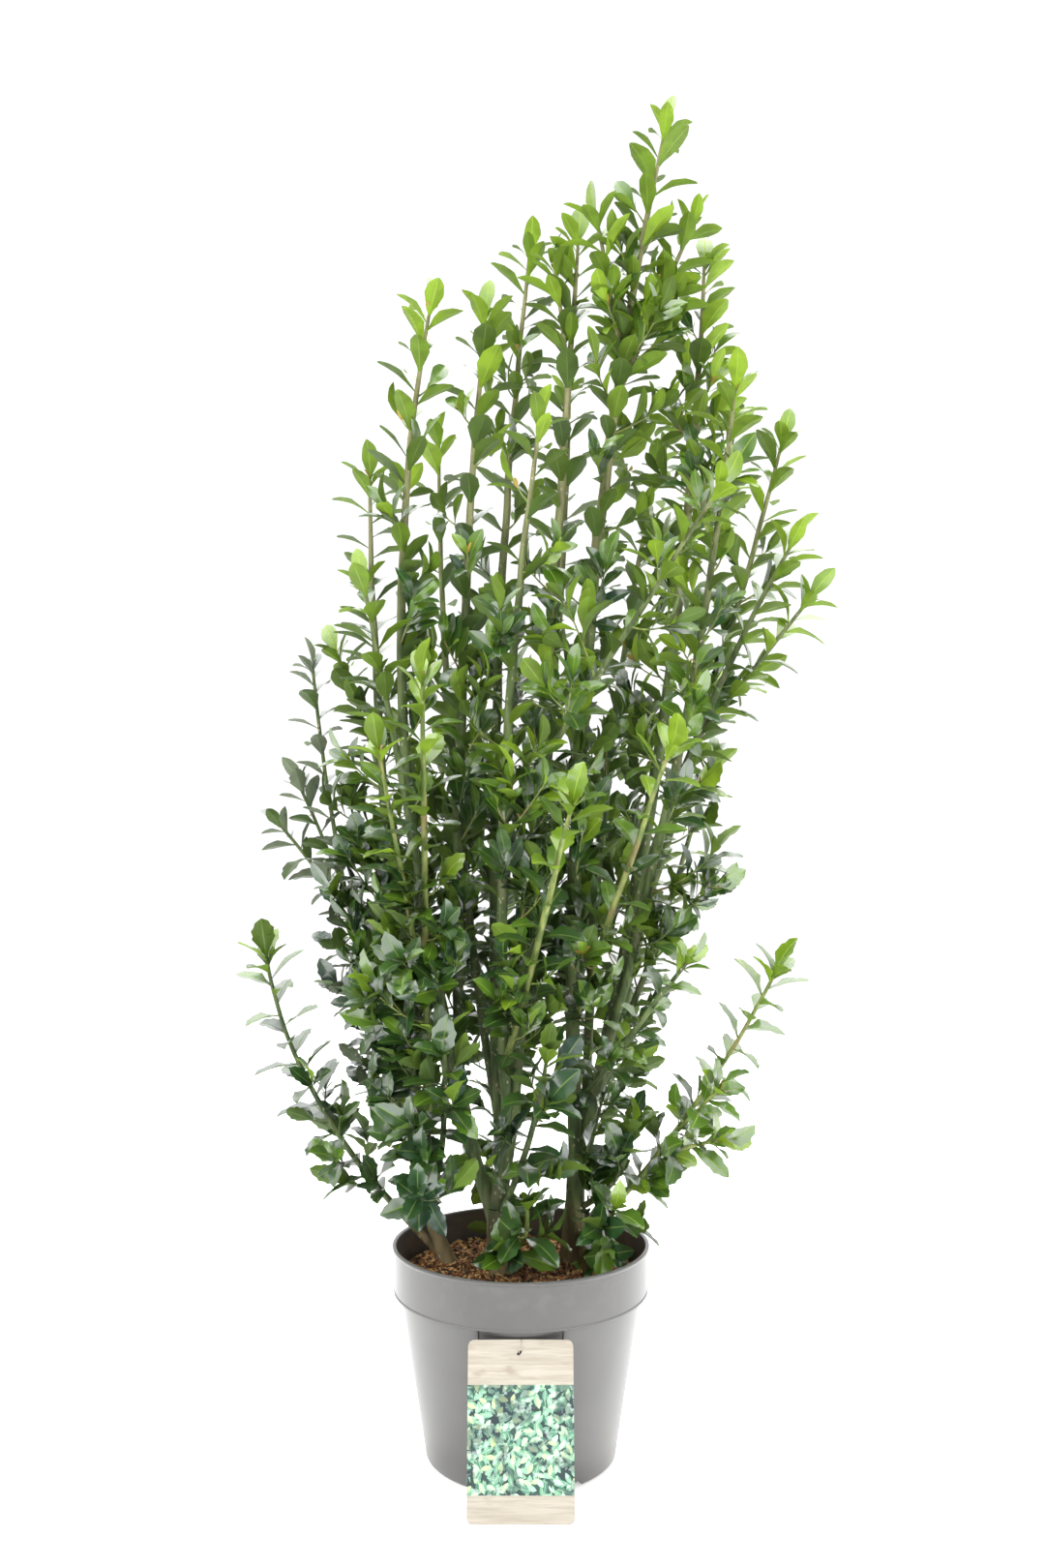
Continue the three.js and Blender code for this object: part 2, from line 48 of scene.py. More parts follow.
lens = bpy.data.cameras.new("camera")
lens.sensor_fit = "VERTICAL"
lens.sensor_height = 36
lens.lens = 28.4
camera = bpy.data.objects.new("camera", lens)
camera.location = (0.002, -1.549, 0.703)
camera.rotation_euler = (math.radians(93.85), 0, 0)
bpy.context.scene.collection.objects.link(camera)
bpy.context.scene.camera = camera
bpy.context.scene.view_settings.view_transform = "Standard"

# How bright the world is, as light and as the camera sees it. In reflections it brightens towards the back
# and towards the top: each row has the start and end of that rise, then the brightness at both.
WORLD = {"light": 0.46, "seen": 1.1, "behind": (-0.5, 0.5, 0.1, 0.85), "overhead": (0.2, 1.0, 0.0, 2.5)}
surround = bpy.data.worlds.new("surround")
surround.use_nodes = True
sky = surround.node_tree.nodes
backdrop = sky.new("ShaderNodeBackground")
for background in (sky["Background"], backdrop):
    background.inputs["Color"].default_value = (1, 1, 1, 1)
sky["Background"].inputs["Strength"].default_value = WORLD["light"]
seen = sky.new("ShaderNodeMixShader")
ray = sky.new("ShaderNodeLightPath")
bright = sky.new("ShaderNodeMath")
bright.operation = "MAXIMUM"
gaze = sky.new("ShaderNodeTexCoord")
sides = sky.new("ShaderNodeSeparateXYZ")
behind, overhead, shine = (sky.new("ShaderNode" + kind) for kind in ("MapRange", "MapRange", "Math"))
for span, values in ((behind, WORLD["behind"]), (overhead, WORLD["overhead"])):
    for socket, value in enumerate(values, 1):
        span.inputs[socket].default_value = value
strength = sky.new("ShaderNodeMix")
strength.inputs[3].default_value = WORLD["seen"]
for source, target in (
    (gaze.outputs["Generated"], sides.inputs[0]), (sides.outputs["Y"], behind.inputs[0]),
    (sides.outputs["Z"], overhead.inputs[0]), (behind.outputs[0], shine.inputs[0]),
    (overhead.outputs[0], shine.inputs[1]), (ray.outputs["Is Camera Ray"], strength.inputs[0]),
    (shine.outputs[0], strength.inputs[2]), (strength.outputs[0], backdrop.inputs["Strength"]),
    (ray.outputs["Is Camera Ray"], bright.inputs[0]), (ray.outputs["Is Glossy Ray"], bright.inputs[1]),
    (bright.outputs[0], seen.inputs[0]), (sky["Background"].outputs[0], seen.inputs[1]),
    (backdrop.outputs[0], seen.inputs[2]), (seen.outputs[0], sky["World Output"].inputs["Surface"]),
):
    surround.node_tree.links.new(source, target)
bpy.context.scene.world = surround

# Each lamp's place, its width and its power. All point at the middle of the plant.
LAMPS = {
    "lamp_front": ((-1.8, -2.8, 2.4), 1.6, 112),
    "lamp_above": ((0.2, -0.4, 4.2), 2.6, 100),
    "lamp_right": ((2.6, -1.8, 1.4), 1.2, 54),
    "lamp_back": ((0.5, 2.8, 3.2), 2.4, 170),
}
for lamp_name, (spot, size, power) in LAMPS.items():
    lamp = bpy.data.lights.new(lamp_name, "AREA")
    lamp.size = size
    lamp.energy = power
    holder = bpy.data.objects.new(lamp_name, lamp)
    holder.location = spot
    holder.rotation_euler = (Vector((0, 0, 0.8)) - Vector(spot)).to_track_quat("-Z", "Y").to_euler()
    holder.visible_camera = False
    holder.visible_glossy = False
    bpy.context.scene.collection.objects.link(holder)


def tint(red, green, blue):
    """A colour given in the usual 0 to 255 steps, as the light values that a shader takes."""
    parts = [part / 255 for part in (red, green, blue)]
    return (*[part / 12.92 if part < 0.04045 else ((part + 0.055) / 1.055) ** 2.4 for part in parts], 1)


floor_mesh = bpy.data.meshes.new("floor")
floor_form = bmesh.new()
bmesh.ops.create_circle(floor_form, cap_ends=True, segments=96, radius=9)
floor_form.to_mesh(floor_mesh)
floor_form.free()
floor = bpy.data.objects.new("floor", floor_mesh)
bpy.context.scene.collection.objects.link(floor)
floor_paint = bpy.data.materials.new("floor_paint")
floor_paint.use_nodes = True
for socket, value in (
    ("Base Color", tint(252, 252, 252)), ("Roughness", 0.7),
    ("Emission Color", (1, 1, 1, 1)), ("Emission Strength", 0.42),
):
    floor_paint.node_tree.nodes["Principled BSDF"].inputs[socket].default_value = value
floor_mesh.materials.append(floor_paint)

# The pot: one thin wall of satin grey plastic, moulded with a wide band under its rolled lip, a shallow
# recess under the band in front, and six low arches in its foot that let water out.

# Sizes are in millimetres and turns in degrees. The recess's cutter stands clear of the wall outside.
POT = {
    "height": 247, "rim": 156.5, "lip": 5, "band": 154, "band_foot": 192, "shoulder": 146, "base": 114,
    "wall": 2.6, "floor": 9, "foot": 3,
}
ARCHES = {"count": 6, "width": 24, "height": 7.5, "depth": 24, "first": 33}
RECESS = {"width": 96, "low": 120, "high": 190.5, "depth": 1.6, "clear": 8}


def wall_radius(height):
    """The pot's outer radius under its band, in millimetres."""
    return POT["base"] + (POT["shoulder"] - POT["base"]) * height / POT["band_foot"]


def turned(profile, steps):
    """A round solid: (radius, height) points in millimetres, spun about the upright axis."""
    form = bmesh.new()
    spots = [form.verts.new((radius * MM, 0, height * MM)) for radius, height in profile]
    edges = [form.edges.new(pair) for pair in zip(spots, spots[1:])]
    bmesh.ops.spin(form, geom=spots + edges, axis=(0, 0, 1), angle=2 * math.pi, steps=steps, use_merge=True)
    bmesh.ops.remove_doubles(form, verts=form.verts, dist=1e-6)
    bmesh.ops.recalc_face_normals(form, faces=form.faces)
    return form


def ring_edges(form, corners):
    """The edges of a round solid that lie on the given (radius, height) corners."""
    found = []
    for edge in form.edges:
        (reach, level), (_, other_level) = [(vert.co.xy.length / MM, vert.co.z / MM) for vert in edge.verts]
        near = any(abs(reach - radius) < 0.2 and abs(level - height) < 0.2 for radius, height in corners)
        if near and abs(level - other_level) < 0.01:
            found.append(edge)
    return found


def round_off(form, corners, offset, segments):
    """Rounds a round solid's ring edges at the given corners, by an offset in millimetres."""
    bmesh.ops.bevel(
        form, geom=ring_edges(form, corners), offset=offset * MM, segments=segments, profile=0.5,
        affect="EDGES", material=-1)


def as_piece(form, name, *finishes, sharp=40):
    """Turns a bmesh into a named piece with its materials, smooth but for edges over an angle."""
    mesh = bpy.data.meshes.new(name)
    form.to_mesh(mesh)
    form.free()
    for finish in finishes:
        mesh.materials.append(finish)
    mesh.shade_smooth()
    mesh.set_sharp_from_angle(angle=math.radians(sharp))
    piece = bpy.data.objects.new(name, mesh)
    bpy.context.scene.collection.objects.link(piece)
    return piece


def cut_out(piece, cutter):
    """Takes the cutter's shape out of a piece for good, and the cutter out of the scene."""
    cut = piece.modifiers.new("cut", "BOOLEAN")
    cut.operation = "DIFFERENCE"
    cut.solver = "EXACT"
    cut.object = cutter
    whole = bpy.data.meshes.new_from_object(piece.evaluated_get(bpy.context.evaluated_depsgraph_get()))
    piece.modifiers.clear()
    piece.data = whole
    bpy.data.objects.remove(cutter)


class Flow:
    """What comes out of a material's node. Sums on it add Math nodes, and make adds any other node."""

    def __init__(self, tree, socket=None):
        self.tree = tree
        self.socket = socket

    def make(self, kind, settings, sockets, out=0):
        node = self.tree.nodes.new("ShaderNode" + kind)
        for name, value in settings.items():
            if name == "stops":
                while len(node.color_ramp.elements) < len(value):
                    node.color_ramp.elements.new(1)
                for element, (place, colour) in zip(node.color_ramp.elements, value):
                    element.position = place
                    element.color = colour
            else:
                setattr(node, name, value)
        for name, value in sockets.items():
            if isinstance(value, Flow):
                self.tree.links.new(value.socket, node.inputs[name])
            else:
                node.inputs[name].default_value = value
        return Flow(self.tree, node.outputs[out])

    def sum(self, operation, first, second):
        return self.make("Math", {"operation": operation}, {0: first, 1: second})

    def __add__(self, other):
        return self.sum("ADD", self, other)

    __radd__ = __add__

    def __mul__(self, other):
        return self.sum("MULTIPLY", self, other)

    __rmul__ = __mul__

    def __sub__(self, other):
        return self.sum("SUBTRACT", self, other)

    def __rsub__(self, other):
        return self.sum("SUBTRACT", other, self)

    def steps(self, low, high):
        """0 up to low, 1 from high, and an even rise between them."""
        settings = {"interpolation_type": "SMOOTHSTEP"}
        return self.make("MapRange", settings, {0: self, 1: low, 2: high, 3: 0.0, 4: 1.0})

    def blend(self, first, second):
        """One colour where this is 0, the other where it is 1."""
        return self.make("Mix", {"data_type": "RGBA"}, {0: self, 6: first, 7: second}, 2)


def new_finish(name, **constants):
    """A material, its shader and the Object coordinates of what it covers, in metres."""
    finish = bpy.data.materials.new(name)
    finish.use_nodes = True
    shader = finish.node_tree.nodes["Principled BSDF"]
    for socket, value in constants.items():
        shader.inputs[socket.replace("_", " ")].default_value = value
    place = Flow(finish.node_tree).make("TexCoord", {}, {}, "Object")
    return finish, shader, place


def spots_of(place, scale, detail=2.0, rough=0.5, stretch=(1, 1, 1)):
    """Soft random patches, as many to a metre as scale says."""
    spread = place.make("Mapping", {}, {"Vector": place, "Scale": stretch})
    sockets = {"Vector": spread, "Scale": scale, "Detail": detail, "Roughness": rough}
    return place.make("TexNoise", {}, sockets)


def feed(shader, **flows):
    """Links what changes over a surface to the shader's sockets."""
    for socket, flow in flows.items():
        flow.tree.links.new(flow.socket, shader.inputs[socket.replace("_", " ")])


def relief(height, depth, strength=1.0):
    """A bump of the given depth in metres."""
    return height.make("Bump", {}, {"Height": height, "Distance": depth, "Strength": strength})


def axes_of(place):
    """The three coordinates of a place, each by its letter."""
    return {name: place.make("SeparateXYZ", {}, {0: place}, name) for name in "XYZ"}


pot_plastic, pot_shader, place = new_finish(
    "pot_plastic", Metallic=0.0, Coat_Weight=1.0, Coat_Roughness=0.34, Coat_IOR=1.7)
pot_patches = spots_of(place, 14, 3.0)
pot_grain = spots_of(place, 900, 2.0)
axes = axes_of(place)
grit = place.make("TexVoronoi", {}, {"Vector": place, "Scale": 90.0, "Randomness": 1.0}, "Distance")
grit_rare = spots_of(place, 23, 0.0).steps(0.56, 0.6)
specks = (1 - grit.steps(0.05, 0.09)) * grit_rare
splash = (1 - axes["Z"].steps(0.01, 0.075)) * spots_of(place, 45, 4.0).steps(0.5, 0.66)
scuffs = splash * (axes["X"].steps(0.06, 0.11) * 0.75 + 0.14)
dust = axes["Z"].steps(0.19, 0.24) * spots_of(place, 60, 3.0).steps(0.45, 0.7)
pot_grey = pot_patches.steps(0.35, 0.65).blend(tint(61, 60, 58), tint(68, 67, 65))
pot_grey = (dust * 0.1).blend(pot_grey, tint(142, 138, 132))
pot_grey = (scuffs * 0.9).blend(pot_grey, tint(112, 92, 70))
pot_grey = (specks * 0.85).blend(pot_grey, tint(58, 50, 44))
# Painted shade: the top of the front recess, just under the band, is blended towards a dark grey where the
# band shades it.
painted_recess_shade = axes["Z"].steps(0.176, 0.187) * (1 - axes["Z"].steps(0.1912, 0.1918))
painted_recess_shade = painted_recess_shade * (1 - axes["Y"].steps(-0.1365, -0.1355))
pot_grey = (painted_recess_shade * 0.8).blend(pot_grey, tint(46, 44, 43))
feed(
    pot_shader, Base_Color=pot_grey, Roughness=0.4 + pot_patches * 0.1 + scuffs * 0.3 + dust * 0.1,
    Normal=relief(pot_grain, 0.00004, 0.6),
)

lip_low = POT["height"] - POT["lip"] + 1
lip_inside = POT["rim"] - 2 - POT["wall"]
pot_form = turned([
    (0, 0), (POT["base"] - POT["foot"], 0), (wall_radius(POT["foot"]), POT["foot"]), (wall_radius(22), 22),
    (wall_radius(110), 110), (POT["shoulder"], POT["band_foot"] - 0.4), (POT["band"] - 0.6, POT["band_foot"]),
    (POT["band"] + 0.5, POT["band_foot"] + 0.8), (POT["band"] + 0.5, POT["band_foot"] + 2.6),
    (POT["band"] - 0.3, POT["band_foot"] + 3.6), (POT["rim"] - 2.2, lip_low - 1.2), (POT["rim"], lip_low),
    (POT["rim"], POT["height"]), (lip_inside, POT["height"]), (lip_inside - 0.6, lip_low),
    (POT["band"] - POT["wall"], POT["band_foot"] + POT["wall"]),
    (POT["shoulder"] - POT["wall"], POT["band_foot"]),
    (wall_radius(POT["floor"]) - POT["wall"], POT["floor"]), (0, POT["floor"]),
], 144)
round_off(pot_form, [(POT["rim"], lip_low), (POT["rim"], POT["height"]), (lip_inside, POT["height"])], 1.5, 3)
round_off(pot_form, [(POT["base"] - POT["foot"], 0), (wall_radius(POT["foot"]), POT["foot"])], 0.8, 2)
pot = as_piece(pot_form, "nursery_pot", pot_plastic, sharp=38)

cutter_form = bmesh.new()
for i in range(ARCHES["count"]):
    turn = Matrix.Rotation(math.radians(ARCHES["first"] + i * 360 / ARCHES["count"]), 4, "Z")
    size = Matrix.Diagonal((ARCHES["width"] / 2 * MM, ARCHES["height"] * MM, ARCHES["depth"] * MM, 1))
    stand = Matrix.Translation((0, -POT["base"] * MM, 0)) @ Matrix.Rotation(math.radians(90), 4, "X")
    bmesh.ops.create_cone(
        cutter_form, cap_ends=True, segments=28, radius1=1, radius2=1, depth=1, matrix=turn @ stand @ size)
recess_half = math.asin(RECESS["width"] / 2 / POT["shoulder"])
recess_start = Matrix.Rotation(-math.pi / 2 - recess_half, 3, "Z")
recess_corners = [
    cutter_form.verts.new(recess_start @ Vector((wall_radius(height) + beyond, 0, height)) * MM)
    for height, beyond in (
        (RECESS["low"], -RECESS["depth"]), (RECESS["high"], -RECESS["depth"]),
        (RECESS["high"], RECESS["clear"]), (RECESS["low"], RECESS["clear"]))
]
recess_edges = [cutter_form.edges.new((recess_corners[i - 1], recess_corners[i])) for i in range(4)]
bmesh.ops.spin(
    cutter_form, geom=recess_corners + recess_edges, axis=(0, 0, 1), angle=2 * recess_half, steps=16)
bmesh.ops.holes_fill(cutter_form, edges=[edge for edge in cutter_form.edges if edge.is_boundary], sides=0)
bmesh.ops.recalc_face_normals(cutter_form, faces=cutter_form.faces)
cut_out(pot, as_piece(cutter_form, "pot_cutter"))
pot.data.name = "nursery_pot"
pot.data.shade_smooth()
pot.data.set_sharp_from_angle(angle=math.radians(38))
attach(pot, "root")
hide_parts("pot")

# The potting bark: moist dark compost that fills the pot to three centimetres under its rim, with a
# loose cover of thin, curled chips of pine bark in tan, red-brown and dark brown.

BARK = {"top": 215, "edge": 209, "level": 138, "lumps": 3.2, "gap": 0.4, "rings": 26}
# How many chips of each colour, and its light and deep tone.
CHIPS = {
    "tan": (1250, (192, 154, 104), (158, 118, 76)),
    "red": (1150, (128, 86, 56), (94, 60, 38)),
    "dark": (750, (70, 52, 38), (46, 36, 28)),
}
CHIP_SIZE = {"length": (5, 15), "width": (2.2, 5.5), "thick": 0.9}
# In metres: how far out chips are strewn, where their ends stop, and how near a trunk's middle they lie.
STREWN = {"reach": 0.149, "end": 0.1485, "off_trunk": 0.014}

bark_mix, bark_shader, place = new_finish("potting_mix", Metallic=0.0)
crumbs = place.make("TexVoronoi", {}, {"Vector": place, "Scale": 260.0}, "Color")
crumb_tone = crumbs.make("SeparateColor", {}, {0: crumbs})
bark_colour = crumb_tone.make("ValToRGB", {"stops": [
    (0.0, tint(52, 38, 29)), (0.4, tint(98, 66, 44)), (0.7, tint(134, 96, 62)), (1.0, tint(176, 138, 94))]},
    {0: crumb_tone})
feed(
    bark_shader, Base_Color=bark_colour, Roughness=0.82 + spots_of(place, 80) * 0.15,
    Normal=relief(crumb_tone, 0.0012))


def lump_height(x, y):
    """How high the loose bark lies at a spot, in metres."""
    reach = min(1, math.hypot(x, y) / (BARK["level"] * MM))
    swell = noise.noise(Vector((x * 28, y * 28, 3.1))) + 0.6 * noise.noise(Vector((x * 75, y * 75, 7.7)))
    return (BARK["top"] - 1.2 + (BARK["edge"] - BARK["top"]) * reach ** 6 + BARK["lumps"] * swell * 0.55) * MM


inner = POT["wall"] + BARK["gap"]
low_corner = wall_radius(POT["floor"] + BARK["gap"]) - inner
side = POT["band"] - inner - 0.2
surface = [
    (side - i / BARK["rings"] * (POT["band"] - inner), BARK["top"]) for i in range(1, BARK["rings"])]
bark_form = turned([
    (0, POT["floor"] + BARK["gap"]), (low_corner, POT["floor"] + BARK["gap"]),
    (POT["shoulder"] - inner, POT["band_foot"] - 2), (side, POT["band_foot"] + 4), (side, BARK["edge"] - 4),
    *surface, (0, BARK["top"]),
], 96)
for vert in bark_form.verts:
    if vert.co.z > (BARK["edge"] - 1) * MM:
        vert.co.z = lump_height(vert.co.x, vert.co.y)
bark_bed = as_piece(bark_form, "potting_mix", bark_mix, sharp=60)
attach(bark_bed, "root")
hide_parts("soil")


def mesh_arrays(form):
    """A small form's points, and its faces as triangles, with each one's material."""
    bmesh.ops.triangulate(form, faces=form.faces)
    form.verts.index_update()
    points = np.array([vert.co[:] for vert in form.verts])
    faces = np.array([[vert.index for vert in face.verts] for face in form.faces])
    slots = np.array([face.material_index for face in form.faces])
    form.free()
    return points, faces, slots


def joined(name, parts, finishes, sharp=40):
    """One piece from many: parts are (form arrays, places), a place being a 3 by 4 matrix for each copy."""
    points, faces, slots = [], [], []
    count = 0
    for (shape, corners, kinds), places in parts:
        places = np.asarray(places)
        moved = np.einsum("nij,vj->nvi", places[:, :, :3], shape) + places[:, None, :, 3]
        offsets = count + np.arange(len(places)) * len(shape)
        points.append(moved.reshape(-1, 3))
        faces.append((corners[None] + offsets[:, None, None]).reshape(-1, 3))
        slots.append(np.tile(kinds, len(places)))
        count += len(places) * len(shape)
    points, faces, slots = np.concatenate(points), np.concatenate(faces), np.concatenate(slots)
    mesh = bpy.data.meshes.new(name)
    mesh.vertices.add(len(points))
    mesh.vertices.foreach_set("co", points.astype(np.float32).ravel())
    mesh.loops.add(len(faces) * 3)
    mesh.loops.foreach_set("vertex_index", faces.astype(np.int32).ravel())
    mesh.polygons.add(len(faces))
    mesh.polygons.foreach_set("loop_start", np.arange(0, len(faces) * 3, 3, dtype=np.int32))
    mesh.polygons.foreach_set("material_index", slots.astype(np.int32))
    mesh.update(calc_edges=True)
    for finish in finishes:
        mesh.materials.append(finish)
    mesh.shade_smooth()
    mesh.set_sharp_from_angle(angle=math.radians(sharp))
    piece = bpy.data.objects.new(name, mesh)
    bpy.context.scene.collection.objects.link(piece)
    return piece


def chip_form(curl, twist):
    """A flake one unit long, wide and thick, that curls along its length."""
    form = bmesh.new()
    bmesh.ops.create_cube(form, size=1)
    long_edges = [edge for edge in form.edges if abs(edge.verts[0].co.x - edge.verts[1].co.x) > 0.5]
    bmesh.ops.subdivide_edges(form, edges=long_edges, cuts=3)
    for vert in form.verts:
        reach = vert.co.x * 2
        vert.co.y *= 1 - 0.35 * reach * reach + 0.12 * noise.noise(Vector((reach * 3, vert.co.y, twist)))
        vert.co.z += curl * reach * reach + twist * reach * vert.co.y
    return mesh_arrays(form)


chip_forms = [chip_form(curl, twist) for curl, twist in ((1.3, 0.5), (-0.9, 1.1), (2.1, -0.8), (0.4, -0.3))]
draw = np.random.default_rng(11)
trunk_feet = np.array([(-0.020, -0.017), (-0.086, 0.030), (0.062, 0.030)])
for chip_name, (count, light, deep) in CHIPS.items():
    chip_finish, chip_shader, place = new_finish("chips_" + chip_name, Metallic=0.0)
    patches = spots_of(place, 120, 2.0).steps(0.35, 0.65)
    fibres = spots_of(place, 600, 3.0, 0.6, (1, 0.25, 1))
    feed(
        chip_shader, Base_Color=patches.blend(tint(*deep), tint(*light)), Roughness=0.65 + fibres * 0.3,
        Normal=relief(fibres, 0.0003))
    parts = [[] for _ in chip_forms]
    while count:
        reach = STREWN["reach"] * math.sqrt(draw.random())
        turn = draw.random() * 2 * math.pi
        x, y = reach * math.cos(turn), reach * math.sin(turn)
        if np.min(np.hypot(*(trunk_feet - (x, y)).T)) < STREWN["off_trunk"]:
            continue
        length = draw.uniform(*CHIP_SIZE["length"]) * (0.55 + 0.45 * draw.random())
        width = draw.uniform(*CHIP_SIZE["width"])
        lean = Matrix.Rotation(draw.normal(0, 0.35), 3, "X") @ Matrix.Rotation(draw.normal(0, 0.3), 3, "Y")
        lie = Matrix.Rotation(draw.random() * 2 * math.pi, 3, "Z") @ lean
        reach_out = math.hypot(x, y) + length * MM / 2
        if reach_out > STREWN["end"]:
            x, y = x * STREWN["end"] / reach_out, y * STREWN["end"] / reach_out
        rise = (0.3 + 1.8 * draw.random()) * MM
        size = np.diag([length * MM, min(width, length * 0.6) * MM, CHIP_SIZE["thick"] * MM])
        spot = np.array([[x], [y], [lump_height(x, y) + rise]])
        parts[int(draw.integers(len(chip_forms)))].append(np.hstack([np.array(lie) @ size, spot]))
        count -= 1
    chips = joined("bark_chips_" + chip_name, list(zip(chip_forms, parts)), [chip_finish], 50)
    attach(chips, "root")
    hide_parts("soil")

# The label: a stiff printed card with rounded corners that leans on the pot. It has a plain wood pattern
# in a band above and below and a leaf pattern between them, and a clear tie through the hole at its top.

CARD = {
    "width": 116, "height": 184, "corner": 6, "thick": 1, "foot": -173.5, "gap": 0.3, "hole": 2.1, "drop": 13,
}
PICTURE = {"low": 0.0285, "high": 0.1372}

card_print, card_shader, place = new_finish("card_print", Metallic=0.0, Coat_Weight=0.35, Coat_Roughness=0.15)
axes = axes_of(place)
grain = spots_of(place, 30, 4.0, 0.6, (0.6, 1, 9))
knots = spots_of(place, 26, 3.0, 0.55, (1, 1, 2.2)).steps(0.56, 0.72)
wood = grain.steps(0.3, 0.7).blend(tint(166, 156, 141), tint(187, 180, 167))
wood = (knots * 0.55).blend(wood, tint(146, 130, 114))
picture = spots_of(place, 24, 2.0).steps(0.35, 0.65).blend(tint(18, 40, 44), tint(48, 80, 72))
# The printed leaves, from the back ones to the front ones: how many to a metre, half their length and
# half their width in metres, their deep and light tone, and a shift that sets each layer apart.
PRINTED_LEAVES = [
    (62.0, 0.0092, 0.0042, (38, 96, 82), (82, 140, 108), 0.0),
    (70.0, 0.0074, 0.0033, (96, 158, 128), (140, 190, 150), 3.3),
    (84.0, 0.0062, 0.0029, (66, 128, 106), (156, 204, 176), 8.1),
    (74.0, 0.0060, 0.0028, (178, 200, 140), (178, 216, 196), 5.7),
]
for scale, half_long, half_wide, dark, light, shift in PRINTED_LEAVES:
    spread = place.make(
        "Mapping", {}, {"Vector": place, "Location": (shift, 0, shift / 3), "Scale": (1, 0, 1)})
    cells = {"Vector": spread, "Scale": scale, "Randomness": 0.85}
    centre = place.make("TexVoronoi", {}, cells, "Position")
    luck = place.make("TexVoronoi", {}, cells, "Color")
    offset = place.make("VectorMath", {"operation": "SUBTRACT"}, {0: spread, 1: centre})
    angle = luck.make("SeparateColor", {}, {0: luck}) * 6.28
    facing = place.make("VectorRotate", {"rotation_type": "Y_AXIS"}, {"Vector": offset, "Angle": angle})
    along = facing.make("SeparateXYZ", {}, {0: facing}, "X") * (1 / half_long)
    beside = facing.make("SeparateXYZ", {}, {0: facing}, "Z") * (1 / half_wide)
    beside = beside.make("Math", {"operation": "ABSOLUTE"}, {0: beside})
    inside = (1 - along * along - beside).steps(0.0, 0.06)
    vein = 1 - beside.steps(0.04, 0.12)
    leaf_tone = luck.make("SeparateColor", {}, {0: luck}, "Green").blend(tint(*dark), tint(*light))
    leaf_tone = (vein * 0.5).blend(leaf_tone, tint(232, 238, 205))
    picture = inside.blend(picture, leaf_tone)
hollows = spots_of(place, 42, 3.0).steps(0.51, 0.6)
picture = (hollows * 0.62).blend(picture, tint(26, 44, 54))
gleams = spots_of(place, 150, 2.0).steps(0.58, 0.68)
picture = (gleams * 0.42).blend(picture, tint(206, 226, 216))
in_picture = axes["Z"].steps(PICTURE["low"], PICTURE["low"] + 0.0002)
in_picture = in_picture * (1 - axes["Z"].steps(PICTURE["high"], PICTURE["high"] + 0.0002))
feed(card_shader, Base_Color=in_picture.blend(wood, picture), Roughness=0.3 + grain * 0.08)
card_back, back_shader, place = new_finish("card_back", Metallic=0.0)
back_patches = spots_of(place, 40, 2.0)
feed(
    back_shader, Base_Color=back_patches.blend(tint(232, 230, 224), tint(240, 239, 234)),
    Roughness=0.4 + back_patches * 0.1)

card_form = bmesh.new()
bmesh.ops.create_grid(
    card_form, x_segments=24, y_segments=36, size=1,
    matrix=Matrix.Translation((0, CARD["height"] / 2 * MM, 0))
    @ Matrix.Diagonal((CARD["width"] / 2 * MM, CARD["height"] / 2 * MM, 1, 1)))
for vert in card_form.verts:
    half = CARD["width"] / 2 * MM - CARD["corner"] * MM
    middle = CARD["height"] / 2 * MM
    tall = middle - CARD["corner"] * MM
    beyond = Vector((max(0, abs(vert.co.x) - half), max(0, abs(vert.co.y - middle) - tall)))
    if beyond.x > 0 and beyond.y > 0 and beyond.length > 0:
        reach = beyond / beyond.length * max(beyond.x, beyond.y)
        vert.co.x = math.copysign(half + reach.x, vert.co.x)
        vert.co.y = middle + math.copysign(tall + reach.y, vert.co.y - middle)
bmesh.ops.solidify(card_form, geom=card_form.faces[:], thickness=CARD["thick"] * MM)
bmesh.ops.recalc_face_normals(card_form, faces=card_form.faces)
head = -wall_radius(CARD["height"]) - CARD["gap"]
card_lean = math.asin((head - CARD["foot"]) / CARD["height"])
front_z = max(vert.co.z for vert in card_form.verts)
for face in card_form.faces:
    face.material_index = 0 if face.normal.z > 0.5 else 1
for vert in card_form.verts:
    vert.co.z -= front_z - CARD["thick"] * MM
    vert.co.y *= 1 + 0.004 * (1 - (vert.co.x / (CARD["width"] / 2 * MM)) ** 2)
bmesh.ops.rotate(card_form, verts=card_form.verts, matrix=Matrix.Rotation(math.pi / 2 - card_lean, 3, "X"))
bmesh.ops.translate(card_form, verts=card_form.verts, vec=(0, CARD["foot"] * MM, CARD["gap"] * MM))
label = as_piece(card_form, "label_card", card_print, card_back, sharp=30)
hole_form = bmesh.new()
hole_middle = Vector((-0.0015, CARD["height"] * MM - CARD["drop"] * MM, 0))
hole_place = Matrix.Translation((0, CARD["foot"] * MM, CARD["gap"] * MM)) @ Matrix.Rotation(
    math.pi / 2 - card_lean, 4, "X") @ Matrix.Translation(hole_middle) @ Matrix.Rotation(0.7, 4, "Z")
bmesh.ops.create_cone(
    hole_form, cap_ends=True, segments=20, radius1=CARD["hole"] * MM, radius2=CARD["hole"] * MM, depth=0.01,
    matrix=hole_place @ Matrix.Diagonal((1.5, 0.8, 1, 1)))
cut_out(label, as_piece(hole_form, "label_punch"))
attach(label, "root")
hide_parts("label")

tie_plastic, tie_shader, place = new_finish("tie_plastic", Metallic=0.0, Coat_Weight=0.3)
tie_cloud = spots_of(place, 300, 2.0)
feed(
    tie_shader, Base_Color=tie_cloud.blend(tint(150, 142, 126), tint(178, 170, 152)),
    Roughness=0.25 + tie_cloud * 0.15)
